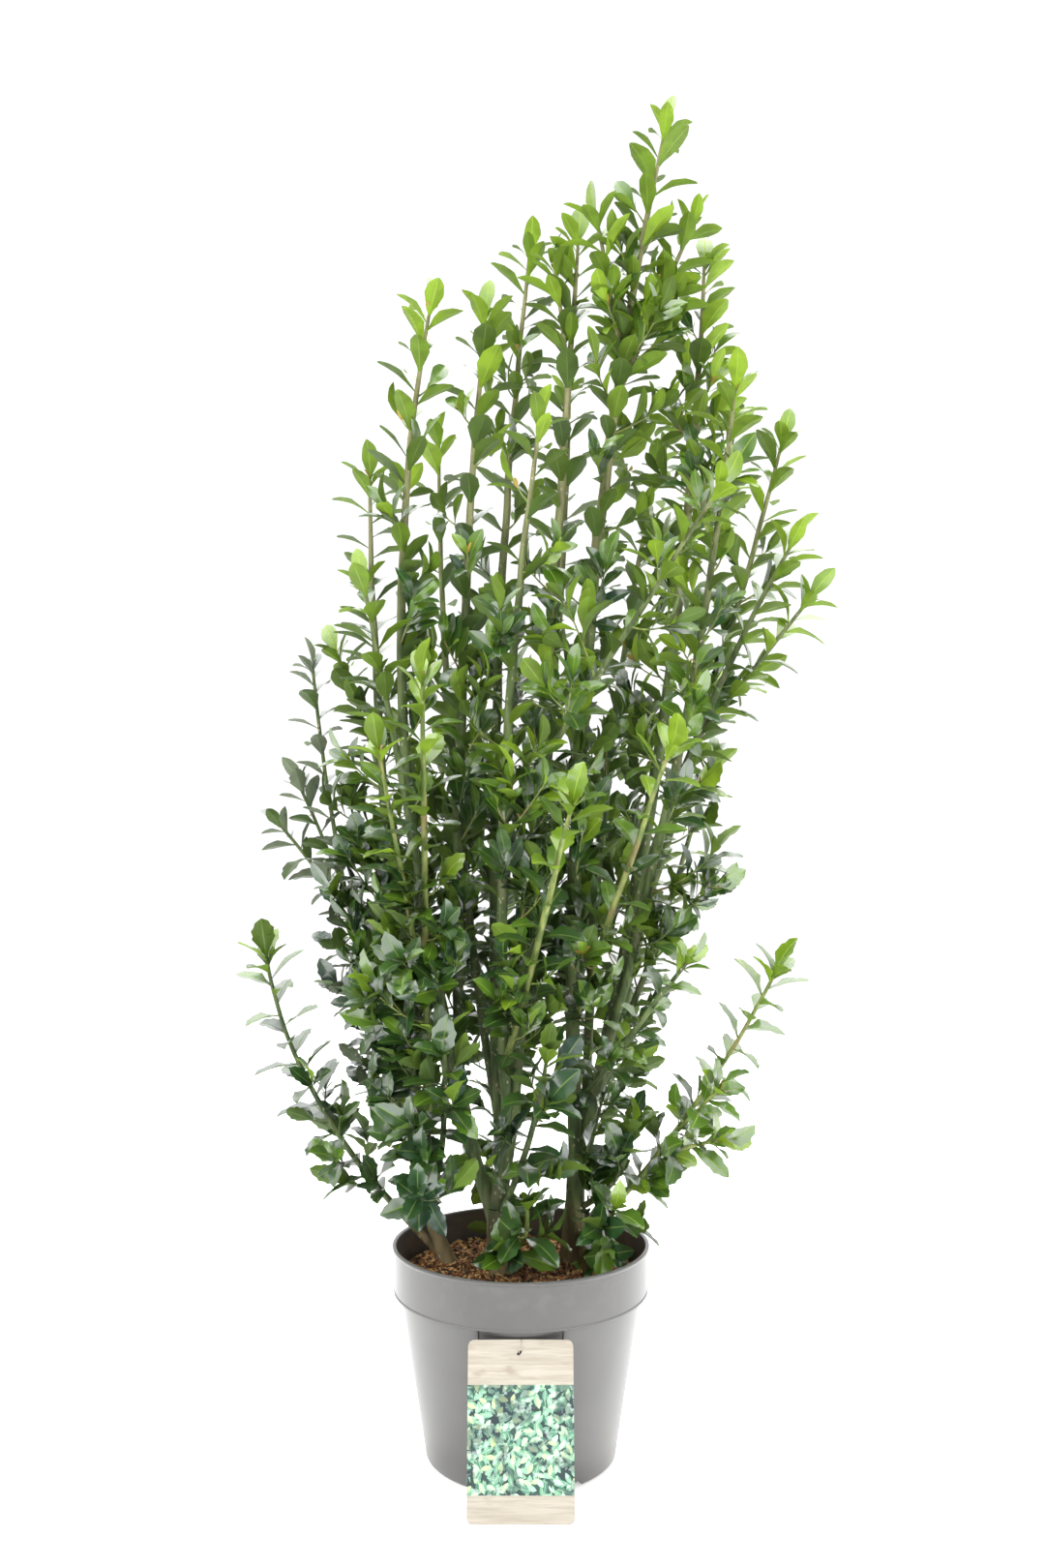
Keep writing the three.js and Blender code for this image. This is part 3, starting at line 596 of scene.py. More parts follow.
# A ring of thread, pressed to an oval and waved sideways a little.
tie_form = bmesh.new()
bmesh.ops.create_circle(
    tie_form, cap_ends=False, segments=8, radius=0.5 * MM,
    matrix=Matrix.Translation((0, -0.007, 0)) @ Matrix.Rotation(math.pi / 2, 4, "X"))
bmesh.ops.spin(
    tie_form, geom=tie_form.verts[:] + tie_form.edges[:], axis=(1, 0, 0), cent=(0, 0, 0), angle=2 * math.pi,
    steps=28, use_merge=True)
bmesh.ops.remove_doubles(tie_form, verts=tie_form.verts, dist=1e-6)
bmesh.ops.recalc_face_normals(tie_form, faces=tie_form.faces)
for vert in tie_form.verts:
    vert.co.y *= 0.55
    vert.co.x += 0.0012 * math.sin(vert.co.z * 260)
bmesh.ops.translate(
    tie_form, verts=tie_form.verts, vec=hole_place.to_translation() + Vector((0.001, 0, 0.0066)))
tie = as_piece(tie_form, "label_tie", tie_plastic, sharp=60)
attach(tie, "root")

# The trunks and boughs: three woody stems rise from the bark, rough and brown at the foot, then olive
# green with pale dots. Each bough leaves a trunk or another limb and thins towards its leafy part.

# A trunk's path starts sunk in the bark, and what lies under the cut is taken off.
TRUNK = {"sunk": 12, "cut": 212.5, "flare": 0.3, "flare_fall": 4}
TRUNKS = {
    "trunk_centre": {"foot": (-20, -17), "end": (-29, -16, 290), "bow": (-2, 0, 0), "thick": (33, 24)},
    "trunk_left": {"foot": (-86, 30), "end": (-118, 14, 310), "bow": (-5, 0, 0), "thick": (19, 15)},
    "trunk_right": {"foot": (62, 30), "end": (68, 18, 350), "bow": (2, 0, 0), "thick": (29, 21)},
}
LIMB = {"end_taper": 2, "fork_thick": 0.8, "tip_leaf": 52, "stem_end": 4.2, "fullness": 2.6, "wander": 2.2}
# Blender's vector noise, by which the stems wander, starts from the clock unless it is given a seed.
noise.seed_set(1)
# Each limb: what carries it and at which share of that one's path, its tip, how far its middle bows, its
# thickness at the foot, and the share of it that is bare. A fully bare one carries others.
LIMBS = {
    "fork_left": (("trunk_centre", 0.7), (-75, -2, 430), (-4, 0, 0), 17, 1),
    "fork_middle": (("trunk_centre", 1), (-8, -10, 425), (0, 0, 0), 21, 1),
    "top": (("trunk_right", 1), (188, -30, 1690), (-40, 0, 0), 18, 0.16),
    "right_inner": (("trunk_right", 0.8), (253, 60, 1555), (30, 0, 0), 17, 0.2),
    "mid_tall": (("fork_middle", 1), (78, 10, 1561), (2, 0, 0), 16, 0.11),
    "mid_left": (("fork_middle", 0.2), (13, 70, 1578), (-25, 30, 0), 14, 0.15),
    "left_second": (("fork_left", 1), (-44, 0, 1457), (-15, 0, 0), 14, 0),
    "left_tall": (("fork_left", 0.72), (-118, -40, 1447), (-56, 0, 0), 14, 0.13),
    "front_bright": (("fork_middle", 0.6), (24, -110, 1279), (-21, -20, 0), 14, 0.13),
    "left_edge": (("trunk_left", 1), (-201, 30, 1257), (-15, 0, 0), 14, 0.16),
    "left_outer": (("left_edge", 0.1), (-256, 100, 1038), (35, 10, 0), 10, 0.12),
    "left_brown": (("left_tall", 0.05), (-198, -80, 1090), (5, -30, 0), 10, 0),
    "grey": (("trunk_left", 0.4), (-293, 110, 1020), (-21, 0, 0), 11, 0.18),
    "left_green": (("trunk_left", 0.86), (-111, -170, 963), (0, 0, 0), 10, 0.12),
    "low_left": (("trunk_left", 0.1), (-331, -60, 640), (-42, 0, 0), 11, 0.18),
    "low_right": (("trunk_right", 0.15), (336, -50, 616), (19, 0, 0), 10, 0.2),
    "right_edge": (("right_inner", 0.14), (344, -80, 1138), (-30, 0, 0), 11, 0.12),
    "right_bright": (("right_inner", 0.11), (266, -110, 1322), (18, -10, 0), 12, 0.12),
    "right_outer": (("right_inner", 0.18), (361, 60, 1311), (10, 25, 0), 11, 0.1),
    "right_lower": (("right_inner", 0.07), (271, 90, 902), (12, 12, 0), 10, 0.12),
    "right_green": (("top", 0.12), (180, -190, 875), (0, 0, 0), 8, 0),
    "right_bottom": (("top", 0.04), (216, -140, 632), (0, 0, 0), 8, 0),
    "front_centre": (("front_bright", 0.1), (68, -210, 817), (0, 0, 0), 9, 0),
    "back_left": (("mid_left", 0.06), (-122, 190, 1353), (-20, 20, 0), 11, 0),
    "back_mid": (("mid_tall", 0.08), (74, 200, 1429), (10, 25, 0), 12, 0),
    "back_right": (("right_inner", 0.04), (202, 190, 1324), (-20, 30, 0), 12, 0.12),
    "back_low": (("mid_left", 0.04), (8, 300, 901), (-15, 25, 0), 10, 0.12),
    "back_low_left": (("grey", 0.15), (-197, 250, 725), (15, 20, 0), 9, 0),
    "back_low_right": (("trunk_right", 0.5), (214, 260, 753), (0, 20, 0), 10, 0.14),
    "front_tuft": (("trunk_centre", 0.3), (24, -86, 352), (12, -8, -8), 7, 0),
    "low_front": (("trunk_left", 0.7), (-87, -120, 553), (10, -20, 0), 8, 0),
    "low_middle": (("trunk_centre", 0.85), (44, -105, 529), (8, -14, 0), 8, 0),
    "low_inner": (("trunk_right", 0.5), (158, -62, 433), (14, -8, -8), 8, 0),
    "low_back": (("trunk_centre", 0.6), (-32, 120, 447), (0, 20, -6), 8, 0),
    "right_tuft": (("trunk_right", 0.3), (134, -88, 322), (8, -8, -4), 8, 0),
}
# The weaker leaders thin out sooner: the power by which their thickness falls.
SLENDER = {"low_left": 0.6, "low_right": 0.6, "grey": 0.7, "left_outer": 1.2, "right_lower": 1.2}
# Long side shoots: the share of the leader's path where each leaves, and its tip.
FORKS = {
    "top": ((0.77, (86, -60, 1558)), (0.74, (245, 20, 1585))),
    "mid_tall": ((0.84, (38, -10, 1518)),),
    "front_bright": ((0.45, (251, -180, 1172)),),
    "grey": ((0.6, (-318, 110, 857)), (0.56, (-354, 120, 794))),
    "left_green": ((0.4, (-168, -170, 879)),),
    "low_right": ((0.42, (257, -100, 473)), (0.36, (272, -90, 396))),
    "right_edge": ((0.62, (373, -100, 1058)),),
}


class Stem:
    """A stem's path in millimetres: a straight line that bows sideways and wanders a little."""

    def __init__(self, foot, tip, bow=(0, 0, 0), wander=0.0):
        self.foot, self.tip, self.bow = Vector(foot), Vector(tip), Vector(bow)
        self.run = (self.tip - self.foot).length
        self.wander = wander
        upright = abs(self.tip.y - self.foot.y) <= 0.8 * self.run
        self.reference = Vector((0, 1, 0)) if upright else Vector((1, 0, 0))

    def point(self, share):
        spot = self.foot.lerp(self.tip, share) + self.bow * (4 * share * (1 - share))
        if self.wander:
            strength = self.wander * min(1, 6 * share, 6 * (1 - share))
            spot += noise.noise_vector(spot / 85) * max(0, strength)
        return spot

    def heading(self, share):
        return (self.tip - self.foot + self.bow * (4 - 8 * share)).normalized()


def short_of(foot, tip, length):
    """A point that lies a length before the tip, on the way from the foot."""
    return tip.lerp(foot, length / (tip - foot).length)


def add_tube(form, stem, start, end, radius_at, sides, spacing, rough):
    """A tapering stem with uneven bark: a cylinder whose rings are moved onto the stem's path."""
    tube = bmesh.new()
    bmesh.ops.create_cone(tube, cap_ends=True, segments=sides, radius1=1, radius2=1, depth=1)
    rings = max(2, round(stem.run * (end - start) / spacing))
    long_edges = [edge for edge in tube.edges if abs(edge.verts[0].co.z - edge.verts[1].co.z) > 0.5]
    bmesh.ops.subdivide_edges(tube, edges=long_edges, cuts=rings - 1)
    for vert in tube.verts:
        share = start + (end - start) * (vert.co.z + 0.5)
        along = stem.heading(share)
        side = stem.reference.cross(along).normalized()
        other = side.cross(along)
        across = vert.co.x * side + vert.co.y * other
        spot = stem.point(share)
        ridge = noise.noise(Vector((across.x * 2.4, across.y * 2.4, spot.z / 34 + spot.x / 50)))
        knot = noise.noise(Vector((spot.x / 19, spot.y / 19, spot.z / 9)))
        swell = 1 + rough * (0.75 * ridge + 0.5 * knot)
        vert.co = (spot + across * radius_at(share) * swell) * MM
    mesh = bpy.data.meshes.new("tube")
    tube.to_mesh(mesh)
    tube.free()
    form.from_mesh(mesh)
    bpy.data.meshes.remove(mesh)


bark_finish, bark_shader, place = new_finish("stem_bark", Metallic=0.0)
axes = axes_of(place)
streaks = spots_of(place, 90, 4.0, 0.6, (1, 1, 0.16))
blotches = spots_of(place, 26, 3.0)
tall = place.make("Mapping", {}, {"Vector": place, "Scale": (1, 1, 0.55)})
dots = place.make("TexVoronoi", {}, {"Vector": tall, "Scale": 170.0}, "Distance")
lenticels = (1 - dots.steps(0.16, 0.26)) * spots_of(place, 70, 0.0).steps(0.5, 0.56)
foot_brown = streaks.steps(0.35, 0.65).blend(tint(92, 80, 58), tint(138, 124, 92))
olive = streaks.steps(0.35, 0.65).blend(tint(62, 78, 46), tint(104, 120, 74))
olive = (blotches.steps(0.52, 0.68) * 0.45).blend(olive, tint(118, 114, 88))
tan = streaks.steps(0.35, 0.65).blend(tint(118, 116, 80), tint(160, 156, 114))
climb = axes["Z"] + blotches * 0.12
bark_colour = climb.steps(0.28, 0.37).blend(foot_brown, olive)
bark_colour = (climb.steps(0.95, 1.4) * 0.9).blend(bark_colour, tan)
bark_colour = (lenticels * 0.75).blend(bark_colour, tint(176, 168, 140))
feed(
    bark_shader, Base_Color=bark_colour, Roughness=0.62 + streaks * 0.25,
    Normal=relief(streaks + lenticels * 0.5, 0.0007))

green_bark, green_shader, place = new_finish("green_bark", Metallic=0.0)
streaks = spots_of(place, 90, 3.0, 0.6, (1, 1, 0.16))
fresh = streaks.steps(0.35, 0.65).blend(tint(96, 116, 58), tint(150, 160, 92))
fresh = (spots_of(place, 20, 2.0).steps(0.52, 0.7) * 0.6).blend(fresh, tint(146, 116, 84))
feed(green_shader, Base_Color=fresh, Roughness=0.5 + streaks * 0.25, Normal=relief(streaks, 0.0004))

limbs = {}
trunk_form = bmesh.new()
bough_form = bmesh.new()
for name, row in TRUNKS.items():
    low, high = row["thick"]
    stem = Stem((*row["foot"], BARK["top"] - TRUNK["sunk"]), row["end"], row["bow"])

    def trunk_radius(share, low=low, high=high):
        flare = 1 + TRUNK["flare"] * max(0, 1 - share) ** TRUNK["flare_fall"]
        return (low + (high - low) * share) / 2 * flare

    add_tube(trunk_form, stem, 0, 1, trunk_radius, 22, 3.5, 0.10)
    limbs[name] = (stem, trunk_radius, 1)
bmesh.ops.bisect_plane(
    trunk_form, geom=trunk_form.verts[:] + trunk_form.edges[:] + trunk_form.faces[:],
    plane_co=(0, 0, TRUNK["cut"] * MM), plane_no=(0, 0, 1), clear_inner=True)
open_rims = [edge for edge in trunk_form.edges if edge.is_boundary]
bmesh.ops.holes_fill(trunk_form, edges=open_rims, sides=0)
shoots = {}
for name, (carrier, tip, bow, thick, bare) in LIMBS.items():
    carrier_stem, _, _ = limbs[carrier[0]]
    foot = carrier_stem.point(carrier[1])
    end = Vector(tip) if bare == 1 else short_of(foot, Vector(tip), LIMB["tip_leaf"])
    stem = Stem(foot, end, bow, LIMB["wander"])
    thin = thick - LIMB["end_taper"] if bare == 1 else LIMB["stem_end"]

    def limb_radius(share, thick=thick, thin=thin, fullness=SLENDER.get(name, LIMB["fullness"])):
        return (thick + (thin - thick) * min(1, max(0, share)) ** fullness) / 2

    limbs[name] = (stem, limb_radius, bare)
    if bare:
        form, sides = (trunk_form, 18) if bare == 1 else (bough_form, 14)
        add_tube(form, stem, 0, bare, limb_radius, sides, 5, 0.08)
    if bare < 1:
        shoots[name] = [(stem, bare, limb_radius)]
        for share, fork_tip in FORKS.get(name, ()):
            fork_foot = stem.point(share)
            fork_end = short_of(fork_foot, Vector(fork_tip), LIMB["tip_leaf"])
            fork_thick = limb_radius(share) * LIMB["fork_thick"]

            def fork_radius(at, fork_thick=fork_thick):
                return fork_thick + (LIMB["stem_end"] / 2 - fork_thick) * at

            shoots[name].append((Stem(fork_foot, fork_end, (0, 0, 0), 1.5), 0, fork_radius))
trunks = as_piece(trunk_form, "trunks", bark_finish, sharp=70)
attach(trunks, "root")
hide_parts(*TRUNKS, "fork_left", "fork_middle")
boughs = as_piece(bough_form, "boughs", bark_finish, sharp=70)
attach(boughs, "root")
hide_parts(*["bough_" + name for name, row in LIMBS.items() if 0 < row[4] < 1])

# The growth: each leader bears a rosette at its tip, leaves in a spiral down its stem and, lower down,
# leafy side twigs. All keep to the leader's own space. The same rule sets the plain solids' leaves.

# The turn from one leaf to the next, and the heights between which the growth changes.
TURN = 2.39996
LOWEST, HIGHEST = 300, 1600
# Lengths are in millimetres and angles in radians. Pairs run from the lowest height to the highest, but
# tries are further turns and shorter lengths, one after another, until a leaf or twig finds room.
GROWTH = {
    "margin": 1.5, "limb_margin": 1.5, "spread": 0.35, "apart": 8,
    "leaf_length": (51, 58), "lean": (1.1, 0.82), "hang": (0.2, 0.0), "leaf_step": (13.5, 12.5),
    "twig_first": (70, 400), "twig_step": (15.5, 34), "twig_length": (108, 66), "twig_angle": 0.85,
    "twig_thick": 3.2, "twig_end": 1.5, "twig_leaf": (0.92, 0.95), "twig_leaf_step": 13,
    "tries": ((0, 1), (1.2, 1), (-1.2, 1), (2.4, 1), (0, 0.7), (1.2, 0.7), (-1.2, 0.7), (2.4, 0.7)),
    "face_lift": 0.12, "twig_glow": 0.12, "glow_reach": 240, "young_to": 40, "forked_over": 70, "cell": 12,
}
# How large a leader's leaves are and how long its twigs, both next to the usual, and how much lighter
# than the others it is.
HABITS = {
    "front_bright": (1, 0.95, 0.16), "left_green": (1, 0.9, 0.2), "front_centre": (1, 0.85, 0.3),
    "right_green": (1, 0.8, 0.28), "right_bright": (1, 0.9, 0.2), "right_edge": (1, 0.6, 0.2),
    "right_outer": (1, 0.6, 0.16), "right_lower": (0.85, 0.35, 0), "right_inner": (1, 0.9, 0.04),
    "low_right": (1, 0.35, 0.3), "low_left": (1, 0.5, 0.03), "grey": (0.86, 0.4, 0),
    "left_outer": (0.95, 0.95, -0.04), "left_edge": (1, 1.15, 0), "front_tuft": (1.2, 1, 0.04),
    "top": (1, 0.9, 0), "mid_tall": (1, 0.85, 0), "left_tall": (1.06, 0.9, 0.1),
    "left_second": (1.06, 0.9, 0.1), "back_mid": (1, 0.7, -0.05), "back_low": (1, 0.8, -0.05),
    "back_low_right": (0.9, 0.55, -0.05),
    "right_tuft": (1.2, 1, 0.04), "right_bottom": (0.85, 0.8, 0.1), "low_inner": (1.15, 1, 0),
    "low_front": (1.1, 1, 0), "low_middle": (1.15, 1, 0), "low_back": (1.1, 1, -0.05),
}
# Leaders whose twigs start nearer the tip: by what share of the usual, and how fast twigs lengthen.
TWIG_STARTS = {
    **dict.fromkeys((
        "top", "right_bright", "front_bright", "right_outer", "right_inner", "front_tuft", "right_tuft",
        "low_front", "low_middle", "low_inner", "low_back"), (0.3, 0.4)),
    "left_second": (0.3, 0.18), "left_tall": (0.3, 0.14), "mid_left": (0.4, 0.12),
}
# Where the crown is more open, or less: the spot, how far it spreads sideways and up, and how much.
OPEN_PLACES = (
    (100, 890, 150, 200, 1.6), (-50, 1140, 120, 130, 2.2), (-245, 1000, 100, 90, -0.6),
    (-50, 1370, 100, 80, -0.6), (-70, 350, 80, 70, 1.6), (225, 700, 75, 110, 2.2), (30, 860, 60, 60, 0.6),
)
# The middle of the crown stands in the leaders' shade and its leaves are darker: the spot, how far it
# spreads sideways and up, and how much darker it is.
SHADED = {"x": 0, "z": 1120, "wide": 170, "high": 240, "darker": 0.32}
# Leaders whose own stem and twigs are still green.
GREEN_STEMMED = ("left_green", "front_centre", "right_green", "low_right", "right_tuft", "front_tuft")


def seeded(seed):
    """A seeded stream of numbers from 0 to 1, the same as in the part's source."""
    state = seed
    while True:
        state = (state + 0x6D2B79F5) & 0xFFFFFFFF
        mixed = ((state ^ (state >> 15)) * (state | 1)) & 0xFFFFFFFF
        mixed ^= (mixed + (mixed ^ (mixed >> 7)) * (mixed | 61)) & 0xFFFFFFFF
        yield ((mixed ^ (mixed >> 14)) & 0xFFFFFFFF) / 4294967296


def by_height(pair, height):
    """A value between a pair, the first at the lowest height and the second at the highest."""
    share = min(1, max(0, (height - LOWEST) / (HIGHEST - LOWEST)))
    return pair[0] + (pair[1] - pair[0]) * share


def airy(spot):
    """How much wider things are spaced here than in the rest of the crown."""
    return 1 + sum(
        more * math.exp(-(((spot.x - x) / wide) ** 2) - ((spot.z - z) / high) ** 2)
        for x, z, wide, high, more in OPEN_PLACES)


def aside(stem, share, turn, lean):
    """Directions beside a stem: turned round it and raised from it by two angles."""
    along = stem.heading(share)
    out = Matrix.Rotation(turn, 3, along) @ stem.reference.cross(along).normalized()
    ahead = along * math.cos(lean) + out * math.sin(lean)
    face = along * math.sin(lean) - out * math.cos(lean)
    return ahead, face


def tree_of(points):
    """A search tree that finds the nearest of many points."""
    tree = kdtree.KDTree(len(points))
    for index, point in enumerate(points):
        tree.insert(point, index)
    tree.balance()
    return tree


claimed = {
    name: [stem.point(start + (1 - start) * i / 120) for stem, start, _ in rows for i in range(121)]
    for name, rows in shoots.items()
}
own_space = {name: tree_of(points) for name, points in claimed.items()}
other_space = {
    name: tree_of([point for other, points in claimed.items() if other != name for point in points])
    for name in shoots
}
limb_points = [
    (stem.point(bare * i / 60), radius_at(bare * i / 60))
    for stem, radius_at, bare in limbs.values() if bare for i in range(61)
]
limb_space = tree_of([point for point, _ in limb_points])


def is_free(name, point, half):
    """A point is free nearest its own stems, off every limb, and clear of the pot and the bark."""
    reach = math.hypot(point.x, point.y)
    floor_here = (BARK["top"] if reach < POT["band"] - 10 else POT["height"]) + 3
    if point.z < floor_here and reach < POT["rim"] + 5:
        return False
    for _, index, distance in limb_space.find_n(point, 2):
        if distance < limb_points[index][1] + half + GROWTH["limb_margin"]:
            return False
    own = own_space[name].find(point)[2]
    other = other_space[name].find(point)[2]
    return own + 2 * GROWTH["margin"] < other


leaves = []
twigs = []
crowded = {}


def has_room(middle, apart):
    """Whether no leaf's middle is nearer than that. Where there is room, the spot is then taken."""
    cell = tuple(int(part // GROWTH["cell"]) for part in middle)
    near = product(*[(part - 1, part, part + 1) for part in cell])
    if any((other - middle).length < apart for key in near for other in crowded.get(key, ())):
        return False
    crowded.setdefault(cell, []).append(middle)
    return True


def grow(name, rows, seed):
    """The leaves and twigs of one leader, and of the long side shoots on it."""
    stream = seeded(seed)
    size, bushy, lighter = HABITS.get(name, (1, 1, 0))

    def wobble(amount):
        return (next(stream) - 0.5) * 2 * amount

    def add_leaf(stem, depth, turn, lean, length, kind, light, hang):
        share = 1 - depth / stem.run
        root = stem.point(share)
        for more, shorter in GROWTH["tries"]:
            ahead, face = aside(stem, share, turn + more, lean)
            ahead = (ahead - Vector((0, 0, hang))).normalized()
            face = (face + Vector((0, 0, GROWTH["face_lift"]))).normalized()
            face = (face - ahead * face.dot(ahead)).normalized()
            reach = length * shorter
            spots = [(root + ahead * reach * at, reach * wide) for at, wide in ((0.55, 0.2), (1, 0))]
            free = all(is_free(name, spot, half) for spot, half in spots)
            if free and has_room(spots[0][0], GROWTH["apart"]):
                leaves.append((name, root, ahead, face, reach, kind, light, next(stream), next(stream)))
                return

    def light_at(height):
        return 0.36 + 0.4 * lighter + 0.4 * (height - LOWEST) / (HIGHEST - LOWEST)

    def add_leaves(stem, start, scale, shift, step, glow):
        """A rosette at the tip, then leaves down the stem. Near the tip they stand closer."""
        turn = next(stream) * 2 * math.pi
        tip_length = LIMB["tip_leaf"] * scale
        light = light_at(stem.tip.z) + shift
        add_leaf(stem, 0, turn, 0.06, tip_length, "young", light + glow, 0)
        for i in range(2):
            add_leaf(stem, 1, turn + 2 + 2.2 * i, 0.5, 17 * scale, "newest", light + glow, 0)
        depth = 4.0
        while depth < stem.run * (1 - start) - 6:
            turn += TURN + wobble(GROWTH["spread"])
            height = stem.point(1 - depth / stem.run).z
            light = light_at(height) + shift
            lean = min(by_height(GROWTH["lean"], height), 0.66 + depth / 120) + wobble(0.15)
            ripe = min(1, 0.78 + depth / 170)
            length = by_height(GROWTH["leaf_length"], height) * scale * ripe * (1 + wobble(0.13))
            kind = "young" if depth < GROWTH["young_to"] or light > 0.75 else "grown"
            hang = by_height(GROWTH["hang"], height) * min(1, depth / 90)
            tip_glow = glow * max(0, 1 - depth / GROWTH["glow_reach"])
            add_leaf(stem, depth, turn, lean, length, kind, light + tip_glow, hang)
            if depth < 36:
                gap = 3.6 if depth < 12 else 10
            else:
                gap = step * (0.5 + 0.5 * airy(stem.point(1 - depth / stem.run)))
            depth += gap * (1 + wobble(0.2))

    def add_twig(stem, share, turn, lean, length, thick, shift, order):
        """A leafy side twig where there is room for it, with two smaller ones on a long one."""
        foot = stem.point(share)
        for more, shorter in GROWTH["tries"]:
            ahead, _ = aside(stem, share, turn + more, lean)
            reach = length * shorter
            sag = Vector((wobble(1) / 18, wobble(1) / 18, -1 / 11)) * reach
            twig = Stem(foot, foot + ahead * reach, sag)
            if all(is_free(name, twig.point(at), 3) for at in (0.45, 0.7, 1)):
                twigs.append((name, twig, thick, GROWTH["twig_end"], light_at(foot.z) + shift))
                twig_size = size * by_height(GROWTH["twig_leaf"], foot.z)
                add_leaves(
                    twig, 10 / reach, twig_size, shift, GROWTH["twig_leaf_step"], GROWTH["twig_glow"])
                if order == 0 and reach > GROWTH["forked_over"]:
                    for at in (0.32, 0.55):
                        side_lean = 0.8 + wobble(0.2)
                        side_share = at + wobble(0.06)
                        side_turn = next(stream) * 6.28
                        add_twig(twig, side_share, side_turn, side_lean, reach * 0.45, 2.2, shift, 1)
                return

    for stem, start, _ in rows:
        add_leaves(stem, start, size, 0, by_height(GROWTH["leaf_step"], stem.tip.z), 0.3 + 0.6 * lighter)
        turn = next(stream) * 2 * math.pi
        sooner, gain = TWIG_STARTS.get(name, (1, 0.4))
        first = by_height(GROWTH["twig_first"], stem.tip.z) * sooner
        depth = first
        while bushy and depth < stem.run * (1 - start) - 12:
            turn += TURN + wobble(GROWTH["spread"])
            share = 1 - depth / stem.run
            here = stem.point(share).z
            length = min(by_height(GROWTH["twig_length"], here), 20 + (depth - first) * gain)
            length *= bushy * (0.75 + 0.5 * next(stream))
            if length > 18:
                lean = GROWTH["twig_angle"] + wobble(0.2)
                add_twig(stem, share, turn, lean, length, GROWTH["twig_thick"], wobble(0.12), 0)
            depth += by_height(GROWTH["twig_step"], here) * (1 + wobble(0.3)) * airy(stem.point(share))


for index, (name, rows) in enumerate(shoots.items()):
    grow(name, rows, 101 + 7 * index)

# The leaders' stems and the twigs: round shoots, brown where they are older and pale green on the fresh
# ones, each thinner than what it grows on. The stems' bark is slightly uneven, the twigs are smooth.

leader_form, green_form = bmesh.new(), bmesh.new()
for name, rows in shoots.items():
    for stem, start, radius_at in rows:
        form = green_form if name in GREEN_STEMMED else leader_form
        add_tube(form, stem, start, 1, radius_at, 9, 9, 0.07)
for form, piece_name, finish, names in (
    (leader_form, "leader_stems", bark_finish, [name for name in shoots if name not in GREEN_STEMMED]),
    (green_form, "green_leader_stems", green_bark, GREEN_STEMMED),
):
    stems = as_piece(form, piece_name, finish, sharp=70)
    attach(stems, "root")
    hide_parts(*["foliage_" + name for name in names])

TWIG_SIDES, TWIG_RINGS = 5, 7
twig_form = bmesh.new()
bmesh.ops.create_cone(twig_form, cap_ends=True, segments=TWIG_SIDES, radius1=1, radius2=1, depth=1)
long_edges = [edge for edge in twig_form.edges if abs(edge.verts[0].co.z - edge.verts[1].co.z) > 0.5]
bmesh.ops.subdivide_edges(twig_form, edges=long_edges, cuts=TWIG_RINGS - 1)
twig_points, twig_faces, twig_slots = mesh_arrays(twig_form)
for piece_name, finish, wanted in (
    ("twigs", bark_finish, lambda name, light: light <= 0.5 and name not in GREEN_STEMMED),
    ("green_twigs", green_bark, lambda name, light: light > 0.5 or name in GREEN_STEMMED),
):
    parts, owners = [], set()
    for name, stem, thick, thin, light in twigs:
        if not wanted(name, light):
            continue
        bent = np.empty_like(twig_points)
        for i, (x, y, z) in enumerate(twig_points.tolist()):
            share = z + 0.5
            along = stem.heading(share)
            side = stem.reference.cross(along).normalized()
            radius = (thick + (thin - thick) * share) / 2
            bent[i] = (stem.point(share) + (x * side + y * side.cross(along)) * radius) * MM
        parts.append(((bent, twig_faces, twig_slots), [np.hstack([np.eye(3), np.zeros((3, 1))])]))
        owners.add("foliage_" + name)
    sprigs = joined(piece_name, parts, [finish], 70)
    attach(sprigs, "root")
    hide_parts(*sorted(owners))

# The leaves: leathery blades, widest past their middle, with a paler rib, a dull underside and small
# points along the edge, sharper low on the plant. The tips' leaves are yellow-green, the rest darker.

RIB = 0.06
# How many rows of points a leaf has, half its width and where along it that lies, how far its teeth
# stand out, how slowly it widens from its foot, and its thickness, all for a leaf one unit long.
LEAF_KINDS = {
    "newest": {"rows": 5, "wide": 0.17, "widest": 0.56, "teeth": 0.0, "wedge": 1.2, "thick": 0.014},
    "young": {"rows": 7, "wide": 0.198, "widest": 0.62, "teeth": 0.03, "wedge": 1.5, "thick": 0.011},
    "grown": {"rows": 8, "wide": 0.205, "widest": 0.6, "teeth": 0.05, "wedge": 1.45, "thick": 0.011},
    "spiny": {"rows": 9, "wide": 0.225, "widest": 0.55, "teeth": 0.12, "wedge": 1.25, "thick": 0.011},
}
# How a leaf is folded along its rib, how its tip curls and how it twists.
LEAF_BENDS = ((0.10, -0.06, 0.00), (0.15, -0.14, 0.05), (0.08, 0.02, -0.04), (0.12, -0.22, -0.06))


